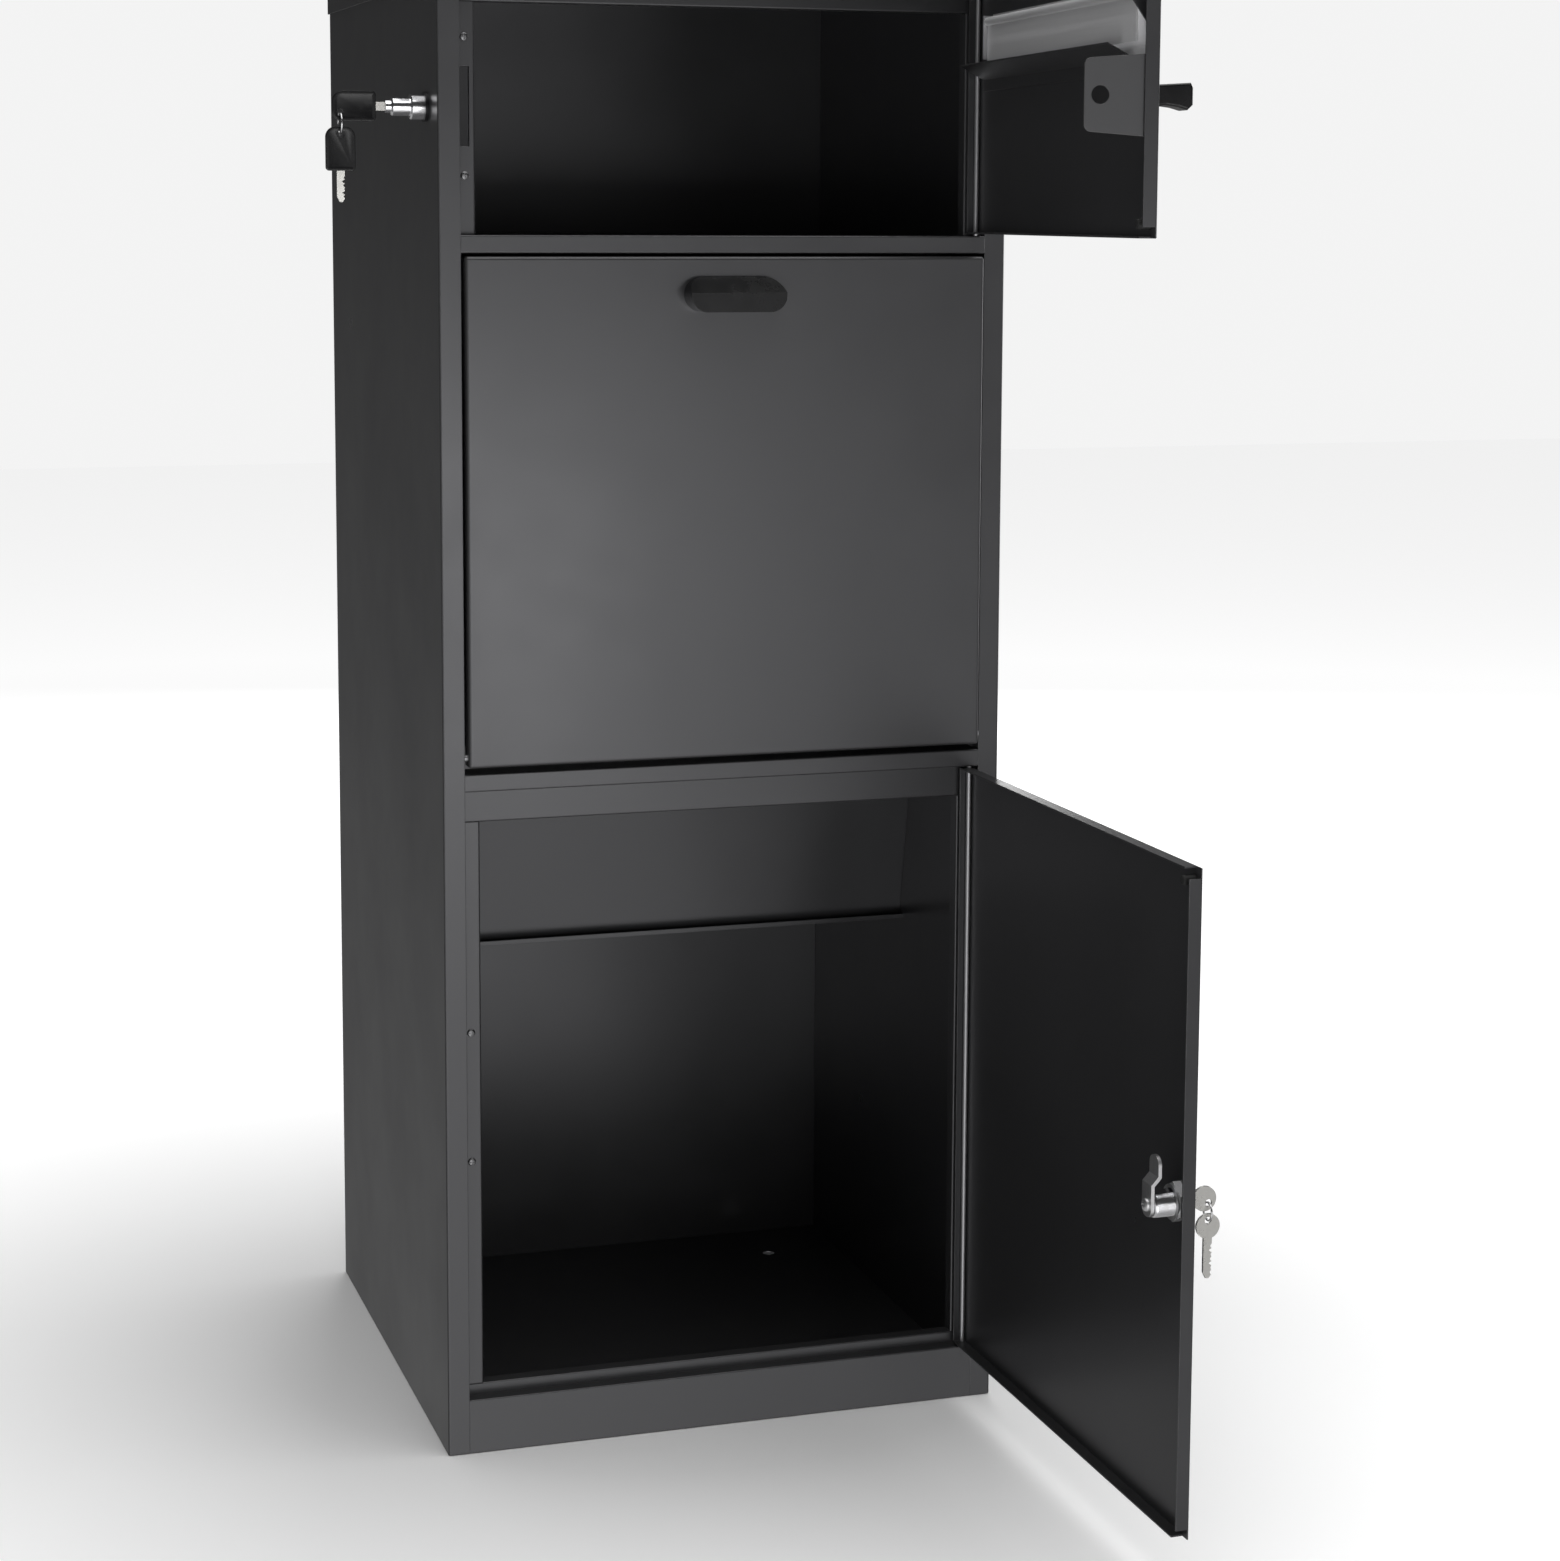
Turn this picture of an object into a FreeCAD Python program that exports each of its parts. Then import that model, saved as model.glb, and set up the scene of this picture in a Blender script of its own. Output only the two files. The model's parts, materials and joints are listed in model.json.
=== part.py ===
"""Free-standing parcel locker: a mail bay, a parcel flap and a parcel bay in one steel cabinet.

Frame: +Z up, the front faces -Y, +X is to the right as seen from the front. The origin is on the
ground, at the centre of the four anchor holes in the bottom panel. Lengths are in millimetres.

The mail door and the parcel door stand open at rest. Their pieces are drawn shut, about the line of
their hinge rod, and the placement of each piece then turns it to the door's open angle.
"""

import FreeCAD, Part

import math
import os
from types import SimpleNamespace

import Sketcher
from FreeCAD import Placement, Rotation, Vector

# Every size that can be chosen by itself: its name, its value and what it measures.
SIZES = (
    ("cabinet_width", 428.0, "across the outer faces of the side panels"),
    ("cabinet_depth", 430.0, "from the front flanges to the back"),
    ("cabinet_height", 1100.0, "from the ground to the top of the cover"),
    ("sheet_thickness", 1.2, "wall of every folded steel panel"),
    ("bend_radius", 1.6, "outer radius of a fold that shows"),
    ("front_flange", 16.0, "width of the side panels' front flanges"),
    ("rear_flange", 15.0, "width of the side panels' rear flanges"),
    ("recess_depth", 11.0, "from the front flanges back to the door stops"),
    ("jamb_width", 13.0, "width of the door stops beside each bay"),
    ("jamb_return", 11.0, "depth of the folded inner edge of a door stop"),
    ("plinth_height", 40.4, "from the ground to the top of the plinth"),
    ("sill_height", 8.6, "from the plinth to the floor edge of the parcel bay"),
    ("parcel_bay_height", 423.0, "clear height of the parcel bay's opening"),
    ("parcel_header_height", 24.0, "door stop above the parcel bay"),
    ("rail_height", 13.0, "height of the two rails"),
    ("rail_flange", 24.0, "depth of the rails' flanges"),
    ("mail_bay_height", 163.0, "clear height of the mail bay's opening"),
    ("mail_header_height", 42.0, "from the mail bay's opening to the top of the cover"),
    ("cover_lip", 28.0, "height of the cover's lip"),
    ("cover_gap", 0.3, "between the cover's lip and the panels"),
    ("anchor_pitch", 300.0, "between the anchor holes, both ways"),
    ("anchor_hole_diameter", 10.0, "for an M8 ground anchor"),
    ("baffle_top_depth", 105.0, "from the front to the baffle's upper edge"),
    ("baffle_bottom_depth", 210.0, "from the front to the baffle's lower edge"),
    ("baffle_bottom_height", 334.0, "from the ground to the baffle's lower edge"),
    ("baffle_lip", 9.0, "width of the folded lower edge and of the upper flange"),
    ("door_depth", 9.6, "from a door's outer face to the edge of its returns"),
    ("door_gap", 1.6, "round a door, except at its hinge side"),
    ("hinge_gap", 2.5, "beside a door at its hinge side"),
    ("hinge_inset", 3.4, "from a door's faces to the middle of its hinge rod"),
    ("hinge_rod_diameter", 3.6, "of both hinge rods"),
    ("running_clearance", 0.05, "round a pin or shaft, on the radius"),
    ("mail_door_open", 85.0, "degrees that the mail door stands open"),
    ("parcel_door_open", 91.0, "degrees that the parcel door stands open"),
    ("corner_relief", 7.0, "gap between two returns at a door's free corners"),
    ("bumper_diameter", 7.0, "of the doors' rubber bumpers"),
    ("bumper_inset", 9.0, "from a door's edges to the middle of its bumper"),
    ("flap_proud", 6.0, "how far the parcel flap stands out of the front"),
    ("flap_depth", 13.5, "from the flap's outer face to the edge of its returns"),
    ("flap_side_gap", 2.0, "beside the flap"),
    ("flap_top_gap", 2.0, "above the flap"),
    ("flap_floor_gap", 5.0, "below the flap"),
    ("flap_edge_radius", 2.4, "of the flap's outer edges"),
    ("flap_pin_height", 12.0, "from the middle rail to the flap's pins"),
    ("flap_pin_depth", 2.0, "from the front to the flap's pins"),
    ("flap_pin_diameter", 5.0, "of the flap's pins"),
    ("flap_pin_length", 12.0, "of the flap's pins"),
    ("cheek_reach", 98.0, "depth of the cheeks at their top"),
    ("cheek_stop_depth", 130.0, "from the flap's pins back to the cheeks' stop tabs"),
    ("cheek_stop_height", 170.0, "from the flap's pins up to the cheeks' stop tabs"),
    ("cheek_top_gap", 26.0, "from the upper rail down to the cheeks"),
    ("stop_tab", 20.0, "height of the cheeks' stop tabs"),
    ("stop_tab_reach", 4.0, "width of those tabs outside the cheeks"),
    ("pull_width", 72.0, "of the flap's cup pull"),
    ("pull_height", 25.0, "of the flap's cup pull"),
    ("pull_depth", 20.0, "how far the cup pull stands out"),
    ("pull_band", 13.0, "height of the cup pull's front band"),
    ("pull_wall", 2.5, "wall of the cup pull"),
    ("pull_drop", 29.0, "from the upper rail down to the middle of the cup pull"),
    ("mail_lock_rise", 90.0, "from the mail bay's floor to the side lock's axis"),
    ("mail_lock_depth", 38.0, "from the front to the side lock's axis"),
    ("lock_slot_height", 56.0, "of the slot for the lock plate"),
    ("lock_slot_width", 9.0, "of the slot for the lock plate"),
    ("lock_plate_height", 52.0, "of the lock plate at the door"),
    ("lock_plate_tip_height", 45.0, "of the lock plate at its tip"),
    ("lock_plate_overhang", 10.5, "of the lock plate past the lock's axis"),
    ("lock_plate_thickness", 2.0, "of the lock plate, the bracket and the keeper"),
    ("lock_plate_inset", 0.8, "from the door's edge return to the lock plate"),
    ("lock_plate_hole_diameter", 11.6, "for the side lock's bolt"),
    ("bracket_overhang", 30.0, "of the lock bracket above and below its slot"),
    ("keeper_height", 128.0, "of the keeper plate"),
    ("jamb_screw_inset", 5.5, "from the edge of the recess to the door stops' screws"),
    ("jamb_screw_pitch", 97.0, "between the two screws of a plate"),
    ("jamb_screw_head_diameter", 6.0, "of the door stops' screws"),
    ("jamb_screw_diameter", 4.0, "shank of the door stops' screws"),
    ("trim_ring_diameter", 21.5, "dark ring under the side lock"),
    ("trim_ring_thickness", 2.5, "of that ring"),
    ("collar_diameter", 18.0, "collar of the side lock's housing"),
    ("collar_length", 9.9, "of that collar, outside the ring"),
    ("housing_diameter", 17.0, "of the side lock's housing inside the panel"),
    ("housing_length", 12.0, "of the side lock's housing inside the cabinet"),
    ("housing_end", 3.0, "end wall that guides the bolt"),
    ("barrel_diameter", 13.0, "of the side lock's barrel"),
    ("barrel_out", 13.6, "how far the barrel stands out of the collar"),
    ("barrel_in", 6.4, "how far the barrel reaches into the collar"),
    ("bolt_diameter", 8.0, "of the side lock's bolt"),
    ("bolt_length", 17.0, "of the side lock's bolt"),
    ("plug_diameter", 9.0, "of the side lock's key plug"),
    ("plug_nose", 3.8, "how far that plug stands out of the barrel"),
    ("plug_length", 13.0, "of that plug inside the barrel"),
    ("nut_width", 24.0, "across the flats of the lock nuts"),
    ("nut_thickness", 5.5, "of the lock nuts"),
    ("key_thickness", 2.0, "of every key blade"),
    ("key_blade_width", 6.0, "of every key blade"),
    ("key_gap", 0.1, "round a blade in its plug"),
    ("cover_bow_length", 31.0, "of a side key's moulded bow"),
    ("cover_bow_width", 21.0, "of a side key's moulded bow"),
    ("cover_bow_thickness", 3.4, "of a side key's moulded bow"),
    ("side_key_shank", 6.7, "bare blade between the plug and the bow"),
    ("spare_blade_length", 22.0, "of the hanging side key's blade"),
    ("key_hole_diameter", 5.0, "in every bow, for its ring"),
    ("key_hole_inset", 5.6, "from the end of a bow to its hole"),
    ("side_ring_diameter", 15.4, "of the side keys' ring, at its wire"),
    ("door_ring_diameter", 12.0, "of the door keys' ring, at its wire"),
    ("ring_wire", 1.5, "of the key rings"),
    ("cam_lock_height", 267.0, "from the ground to the parcel door's lock"),
    ("cam_lock_inset", 21.0, "from the door's free edge to its lock"),
    ("cam_lock_diameter", 19.0, "of the cam lock's threaded body"),
    ("cam_lock_flange_diameter", 22.0, "of the cam lock's outer flange"),
    ("cam_lock_flange", 2.2, "thickness of that flange"),
    ("cam_lock_length", 22.8, "of the cam lock's body behind the door's skin"),
    ("cam_washer_thickness", 1.6, "of the cam lock's toothed washer"),
    ("cam_plug_diameter", 12.0, "of the cam lock's key plug"),
    ("cam_tail_diameter", 7.0, "of the plug's tail, in the cam"),
    ("cam_length", 33.0, "from the lock's axis to the cam's tip"),
    ("cam_width", 14.0, "of the cam"),
    ("cam_thickness", 2.4, "of the cam"),
    ("cam_crank", 5.0, "offset of the cam's tip towards the door"),
    ("cam_screw_head_diameter", 9.0, "of the screw that holds the cam"),
    ("cam_screw_diameter", 4.0, "shank of that screw"),
    ("door_bow_diameter", 17.0, "of a door key's round bow"),
    ("door_key_shank", 5.0, "bare blade between the plug and the bow"),
    ("door_spare_blade", 27.0, "of the hanging door key's blade"),
    ("slot_length", 280.0, "of the mail slot"),
    ("slot_height", 22.0, "of the mail slot"),
    ("slot_rise", 127.0, "from the mail bay's floor to the slot's lower edge"),
    ("slot_start", 70.0, "from the hinge rod to the mail slot"),
    ("slot_frame_thickness", 1.0, "of the slot's inner frame and of its flap"),
    ("slot_frame_border", 11.0, "of that frame below and above the slot"),
    ("slot_rod_depth", 10.0, "from the door's outer face to the flap's rod"),
    ("slot_rod_rise", 5.0, "from the slot's upper edge to the flap's rod"),
    ("slot_rod_diameter", 4.0, "of the flap's rod"),
    ("slot_flap_length", 324.0, "of the slot's flap"),
    ("slot_flap_drop", 30.0, "from the rod to the flap's lower edge"),
    ("slot_curl_diameter", 6.2, "of the flap's curl round its rod"),
    ("slot_bracket_thickness", 1.5, "of the rod's end brackets"),
    ("slot_bracket_gap", 0.5, "between the flap and its end brackets"),
    ("slot_tab_length", 14.0, "of the brackets' screw tabs"),
    ("slot_bracket_foot", 2.5, "depth of the free-side bracket at its narrow foot"),
    ("slot_bracket_head", 9.0, "height of that bracket's full depth round the rod"),
    ("slot_screw_diameter", 7.0, "heads of the brackets' screws"),
    ("mail_baffle_depth", 20.0, "from the door's outer face to the baffle's edge"),
    ("mail_baffle_rise", 10.0, "of the baffle from its root to its edge"),
    ("mail_baffle_length", 333.0, "of the mail baffle"),
    ("mail_baffle_start", 12.0, "from the hinge rod to the mail baffle"),
    ("mail_baffle_flange", 9.0, "of the mail baffle, on the door"),
    ("grip_width", 18.0, "of the mail door's finger grip"),
    ("grip_depth", 24.0, "how far that grip stands out"),
    ("grip_inset", 14.0, "from the door's free edge to the middle of its grip"),
)

doc = FreeCAD.newDocument("parcel_locker")
sheet = doc.addObject("Spreadsheet::Sheet", "Sizes")
CABINET = None
NODES = []


class Size:
    """A number together with the spreadsheet formula that gives it."""

    def __init__(self, value, formula=None):
        self.value = float(value)
        self.formula = formula if formula else repr(float(value))

    def _with(self, other, sign, value):
        return Size(value, f"({self.formula} {sign} {other.formula})")

    def __add__(self, other):
        other = to_size(other)
        return self._with(other, "+", self.value + other.value)

    def __radd__(self, other):
        return to_size(other) + self

    def __sub__(self, other):
        other = to_size(other)
        return self._with(other, "-", self.value - other.value)

    def __rsub__(self, other):
        return to_size(other) - self

    def __mul__(self, other):
        other = to_size(other)
        return self._with(other, "*", self.value * other.value)

    def __rmul__(self, other):
        return to_size(other) * self

    def __truediv__(self, other):
        other = to_size(other)
        return self._with(other, "/", self.value / other.value)

    def __neg__(self):
        return Size(-self.value, f"(0 - {self.formula})")


def to_size(number):
    """A plain number as a Size, and a Size as it is."""
    return number if isinstance(number, Size) else Size(number)


def fill_sheet():
    """Writes the sizes to the spreadsheet and returns them by name."""
    named = {}
    for row, (alias, value, meaning) in enumerate(SIZES, start=1):
        sheet.set(f"A{row}", alias)
        sheet.set(f"B{row}", str(value))
        sheet.set(f"C{row}", meaning)
        sheet.setAlias(f"B{row}", alias)
        named[alias] = Size(value, f"Sizes.{alias}")
    doc.recompute()
    return SimpleNamespace(**named)


size = fill_sheet()


# Ways to make a solid. Every length and place that they take is a Size or a plain number.


def bind(thing, **formulas):
    """Ties properties of an object to Sizes; two underscores stand for a dot in a property's name."""
    for name, amount in formulas.items():
        thing.setExpression(name.replace("__", "."), to_size(amount).formula)


def block(name, across, deep, high):
    """A box from its (low, high) pairs along X, Y and Z."""
    box = doc.addObject("Part::Box", name)
    low_x, high_x = across
    low_y, high_y = deep
    low_z, high_z = high
    bind(box, Length=high_x - low_x, Width=high_y - low_y, Height=high_z - low_z)
    bind(box, Placement__Base__x=low_x, Placement__Base__y=low_y, Placement__Base__z=low_z)
    return box


AXIS_TURNS = {
    "x": Rotation(Vector(0, 1, 0), 90),
    "y": Rotation(Vector(1, 0, 0), -90),
    "z": Rotation(),
}


def rod(name, axis, centre, span, diameter):
    """A cylinder along an axis: its centre in the other two axes, and its (low, high) span along it."""
    cylinder = doc.addObject("Part::Cylinder", name)
    cylinder.Placement = Placement(Vector(), AXIS_TURNS[axis])
    low, high = span
    bind(cylinder, Radius=to_size(diameter) / 2, Height=high - low)
    others = [letter for letter in "xyz" if letter != axis]
    places = {axis: low, others[0]: centre[0], others[1]: centre[1]}
    bind(cylinder, **{f"Placement__Base__{letter}": places[letter] for letter in "xyz"})
    return cylinder


def cut(name, base, *tools):
    """The base with every tool taken away."""
    taken = tools[0]
    if len(tools) > 1:
        taken = doc.addObject("Part::MultiFuse", f"{name}_tools")
        taken.Shapes = list(tools)
    result = doc.addObject("Part::Cut", name)
    result.Base = base
    result.Tool = taken
    return result


def join(name, *parts):
    """Several touching shapes as one solid."""
    result = doc.addObject("Part::MultiFuse", name)
    result.Shapes = list(parts)
    result.Refine = True
    return result


# Plain shapes whose own placement already says where they lie.
PLACED_BY_THEMSELVES = ("Part::Box", "Part::Cylinder", "Part::Torus")


def group(name, parts):
    """Separate solids that share one node."""
    result = doc.addObject("Part::Compound", name)
    result.Links = list(parts)
    return result


def draw_on(body, plane, name, offset):
    """A sketch on one of the body's own planes, moved by an offset given as three Sizes."""
    sketch = body.newObject("Sketcher::SketchObject", name)
    role = f"{plane}_Plane"
    face = [feature for feature in body.Origin.OriginFeatures if feature.Role == role][0]
    sketch.AttachmentSupport = [(face, "")]
    sketch.MapMode = "FlatFace"
    for letter, amount in zip("xyz", offset):
        sketch.setExpression(f"AttachmentOffset.Base.{letter}", to_size(amount).formula)
    return sketch


def draw_outline(sketch, points):
    """A closed outline of straight lines, each corner held by its two distances from the origin."""
    corners = [Vector(to_size(u).value, to_size(v).value, 0) for u, v in points]
    first = sketch.GeometryCount
    count = len(corners)
    for index, corner in enumerate(corners):
        line = Part.LineSegment(corner, corners[(index + 1) % count])
        sketch.addGeometry(line, False)
    for index in range(count):
        after = first + (index + 1) % count
        sketch.addConstraint(Sketcher.Constraint("Coincident", first + index, 2, after, 1))
    for index, (u, v) in enumerate(points):
        for kind, amount in (("DistanceX", to_size(u)), ("DistanceY", to_size(v))):
            rule = Sketcher.Constraint(kind, -1, 1, first + index, 1, amount.value)
            number = sketch.addConstraint(rule)
            sketch.setExpression(f"Constraints[{number}]", amount.formula)


def draw_circle(sketch, centre, diameter):
    """A full circle, held by its centre and its diameter."""
    u, v = to_size(centre[0]), to_size(centre[1])
    number = sketch.addGeometry(
        Part.Circle(Vector(u.value, v.value, 0), Vector(0, 0, 1), to_size(diameter).value / 2), False
    )
    for kind, amount in (("DistanceX", u), ("DistanceY", v)):
        rule = sketch.addConstraint(Sketcher.Constraint(kind, -1, 1, number, 3, amount.value))
        sketch.setExpression(f"Constraints[{rule}]", amount.formula)
    rule = sketch.addConstraint(Sketcher.Constraint("Diameter", number, to_size(diameter).value))
    sketch.setExpression(f"Constraints[{rule}]", to_size(diameter).formula)


def new_body(name):
    """An empty body."""
    return doc.addObject("PartDesign::Body", name)


def level_offset(plane, level):
    """The offset that moves a sketch of this plane to a level along its world axis."""
    return (0, 0, -to_size(level)) if plane == "XZ" else (0, 0, level)


def pad(body, plane, span, points=None, circle=None):
    """Adds a prism between two levels of the plane's world axis."""
    low, high = span
    start = high if plane == "XZ" else low
    sketch = draw_on(body, plane, f"{body.Name}_pad_sketch", level_offset(plane, start))
    if points:
        draw_outline(sketch, points)
    else:
        draw_circle(sketch, *circle)
    feature = body.newObject("PartDesign::Pad", f"{body.Name}_pad")
    feature.Profile = sketch
    bind(feature, Length=high - low)
    doc.recompute()
    return feature


def pocket(body, plane, span, points=None, circle=None):
    """Takes a prism away between two levels of the plane's world axis."""
    low, high = span
    start = low if plane == "XZ" else high
    before = body.Shape.Volume
    sketch = draw_on(body, plane, f"{body.Name}_pocket_sketch", level_offset(plane, start))
    if points:
        draw_outline(sketch, points)
    else:
        draw_circle(sketch, *circle)
    feature = body.newObject("PartDesign::Pocket", f"{body.Name}_pocket")
    feature.Profile = sketch
    bind(feature, Length=high - low)
    doc.recompute()
    if body.Shape.Volume > before - 1e-3:
        raise RuntimeError(f"a pocket in {body.Name} cuts nothing")
    return feature


def round_edges(body, radius, chosen):
    """Fillets the edges whose middle and direction pass the test."""
    names = []
    for number, edge in enumerate(body.Tip.Shape.Edges, start=1):
        ends = [vertex.Point for vertex in edge.Vertexes]
        if len(ends) < 2 or edge.Curve.TypeId != "Part::GeomLine":
            continue
        middle = (ends[0] + ends[1]) / 2
        along = (ends[1] - ends[0]).normalize()
        if chosen(middle, along):
            names.append(f"Edge{number}")
    if not names:
        raise RuntimeError(f"no edge of {body.Name} passes the test")
    before = body.Tip
    fillet = body.newObject("PartDesign::Fillet", f"{body.Name}_fillet")
    fillet.Base = (before, names)
    bind(fillet, Radius=radius)
    doc.recompute()
    if "Invalid" in fillet.State:
        raise RuntimeError(f"the fillet of {body.Name} fails")
    return fillet


def near(a, b):
    """True where two lengths agree to a hundredth."""
    return abs(a - to_size(b).value) < 0.01


def prism(name, plane, span, points):
    """A body with one outline, padded between two levels."""
    body = new_body(name)
    pad(body, plane, span, points=points)
    return body


def rectangle(low_u, high_u, low_v, high_v):
    """The four corners of a rectangle."""
    return [(low_u, low_v), (high_u, low_v), (high_u, high_v), (low_u, high_v)]


def turned(name, axis, centre, profile):
    """A body of revolution. The profile is a list of (place along the axis, radius)."""
    body = new_body(name)
    if axis == "x":
        offset = (0, centre[0], centre[1])
        points = profile
        line = "H_Axis"
    else:
        offset = (centre[0], 0, centre[1])
        points = [(radius, place) for place, radius in profile]
        line = "V_Axis"
    sketch = draw_on(body, "XY", f"{name}_sketch", offset)
    draw_outline(sketch, points)
    feature = body.newObject("PartDesign::Revolution", f"{name}_revolution")
    feature.Profile = sketch
    feature.ReferenceAxis = (sketch, [line])
    feature.Angle = 360
    doc.recompute()
    return body


def tube_profile(low, high, inner, outer):
    """The profile of a plain ring between two places along its axis, from its diameters."""
    inner = to_size(inner) / 2
    outer = to_size(outer) / 2
    return [(low, inner), (high, inner), (high, outer), (low, outer)]


def shaft_profile(low, high, diameter):
    """The profile of a plain shaft between two places along its axis."""
    radius = to_size(diameter) / 2
    return [(low, to_size(0)), (high, to_size(0)), (high, radius), (low, radius)]


def hexagon(centre, width):
    """The corners of a hexagon from its width across the flats."""
    corner = to_size(width) / (2 * math.cos(math.pi / 6))
    turns = [math.pi / 6 + index * math.pi / 3 for index in range(6)]
    return [
        (centre[0] + corner * math.cos(turn), centre[1] + corner * math.sin(turn)) for turn in turns
    ]


def carry(node, frame):
    """Puts a piece in its place: the frame gives where its own origin lies and how far it turns."""
    if frame.angle is not None:
        node.Placement = Placement(Vector(), Rotation(Vector(0, 0, 1), frame.angle.value))
        node.setExpression("Placement.Rotation.Angle", frame.angle.formula)
    bind(node, Placement__Base__x=frame.x, Placement__Base__y=frame.y, Placement__Base__z=frame.z)


def keep(node, label, frame=CABINET):
    """Names a finished piece, puts it in its frame and lists it for export."""
    if frame is not CABINET:
        if node.TypeId in PLACED_BY_THEMSELVES:
            node = group(f"{label}_carried", [node])
        carry(node, frame)
    node.Label = label
    NODES.append(node)
    return node


# Places that several pieces share.

thin = size.sheet_thickness
side = size.cabinet_width / 2
inner_side = side - thin
bay_side = side - size.front_flange
jamb_edge = bay_side - size.jamb_width
front = -size.cabinet_depth / 2
back = size.cabinet_depth / 2
back_panel_front = back - 2 * thin
recess = front + size.recess_depth
behind_jamb = recess + thin
jamb_back = recess + size.jamb_return
plinth_top = size.plinth_height
sill_top = plinth_top + size.sill_height
parcel_bay_top = sill_top + size.parcel_bay_height
mid_rail_bottom = parcel_bay_top + size.parcel_header_height
mid_rail_top = mid_rail_bottom + size.rail_height
top_inside = size.cabinet_height - thin
lip_bottom = size.cabinet_height - size.cover_lip
mail_bay_top = size.cabinet_height - size.mail_header_height
mail_floor = mail_bay_top - size.mail_bay_height
upper_rail_bottom = mail_floor - size.rail_height
shelf_bottom = mail_floor - 2 * thin
mail_lock_height = mail_floor + size.mail_lock_rise
mail_lock_y = front + size.mail_lock_depth

# Doors: both hang on rods in the right-hand corner of the recess.
door_width = 2 * bay_side - size.door_gap - size.hinge_gap
hinge_x = bay_side - size.hinge_gap - size.hinge_inset
hinge_y = front + size.hinge_inset
MAIL_DOOR = SimpleNamespace(x=hinge_x, y=hinge_y, z=Size(0), angle=size.mail_door_open)
PARCEL_DOOR = SimpleNamespace(x=hinge_x, y=hinge_y, z=Size(0), angle=size.parcel_door_open)

# Places in a door's own frame, with the door shut and the hinge rod at the origin.
skin_out = -size.hinge_inset
skin_in = skin_out + thin
free_edge = size.hinge_inset - door_width
return_edge = skin_out + size.door_depth
mail_door_low = mail_floor + size.door_gap
mail_door_high = lip_bottom - size.door_gap
parcel_door_low = plinth_top + size.door_gap
parcel_door_high = mid_rail_bottom - size.door_gap

# The flap's own frame has its pins at the origin.
flap_pin_z = mid_rail_top + size.flap_pin_height
FLAP = SimpleNamespace(x=Size(0), y=front + size.flap_pin_depth, z=flap_pin_z, angle=None)
flap_side = bay_side - size.flap_side_gap
flap_front = -size.flap_pin_depth - size.flap_proud
flap_skin = flap_front + thin
flap_low = size.flap_floor_gap - size.flap_pin_height
flap_high = upper_rail_bottom - size.flap_top_gap - flap_pin_z


# The cabinet.


def side_panel(label, way):
    """A folded side wall with its front and rear flanges; way is -1 on the left, 1 on the right."""
    outline = [
        (way * side, front),
        (way * bay_side, front),
        (way * bay_side, behind_jamb),
        (way * (bay_side + thin), behind_jamb),
        (way * (bay_side + thin), front + thin),
        (way * inner_side, front + thin),
        (way * inner_side, back - thin),
        (way * (side - size.rear_flange), back - thin),
        (way * (side - size.rear_flange), back),
        (way * side, back),
    ]
    panel = prism(label, "XY", (Size(0), top_inside), outline)
    corner_x = way * side

    def outer_fold(middle, along):
        return abs(along.z) > 0.9 and near(middle.x, corner_x)

    round_edges(panel, size.bend_radius, outer_fold)
    return panel


def make_sides():
    left = side_panel("left_wall", -1)
    housing = size.housing_diameter
    hole = (-side - 1, -inner_side + 1)
    lock_hole = rod("lock_hole", "x", (mail_lock_y, mail_lock_height), hole, housing)
    drilled = cut("left_wall_drilled", left, lock_hole)
    keep(drilled, "side_panel_left")
    keep(side_panel("right_wall", 1), "side_panel_right")


def make_floor_and_back():
    floor = new_body("floor_sheet")
    outline = rectangle(-inner_side, inner_side, behind_jamb, back_panel_front)
    pad(floor, "XY", (Size(0), thin), points=outline)
    half = size.anchor_pitch / 2
    for way_x in (-1, 1):
        for way_y in (-1, 1):
            place = ((way_x * half, way_y * half), size.anchor_hole_diameter)
            pocket(floor, "XY", (Size(0), thin), circle=place)
    keep(floor, "bottom_panel")
    across = (-inner_side, inner_side)
    wall = block("back_sheet", across, (back_panel_front, back - thin), (Size(0), top_inside))
    keep(wall, "back_panel")
    shelf = block(
        "shelf_sheet",
        across,
        (behind_jamb, back_panel_front),
        (shelf_bottom, mail_floor - thin),
    )
    keep(shelf, "mail_shelf")


def make_cover():
    reach_x = side + size.cover_gap
    reach_front = front - size.cover_gap
    reach_back = back + size.cover_gap
    cover = new_body("cover_tray")
    outline = rectangle(-reach_x - thin, reach_x + thin, reach_front - thin, reach_back + thin)
    pad(cover, "XY", (lip_bottom, size.cabinet_height), points=outline)
    inside = rectangle(-reach_x, reach_x, reach_front, reach_back)
    # The pocket opens downwards, so it is cut up from the lip's lower edge.
    sketch = draw_on(cover, "XY", "cover_inside", (0, 0, top_inside))
    draw_outline(sketch, inside)
    hollow = cover.newObject("PartDesign::Pocket", "cover_hollow")
    hollow.Profile = sketch
    bind(hollow, Length=top_inside - lip_bottom)
    doc.recompute()
    outer = (reach_x + thin).value

    def outer_edge(middle, along):
        upright = abs(along.z) > 0.9 and abs(abs(middle.x) - outer) < 0.01
        return upright or near(middle.z, size.cabinet_height)

    round_edges(cover, size.bend_radius, outer_edge)
    keep(cover, "top_cover")


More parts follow.
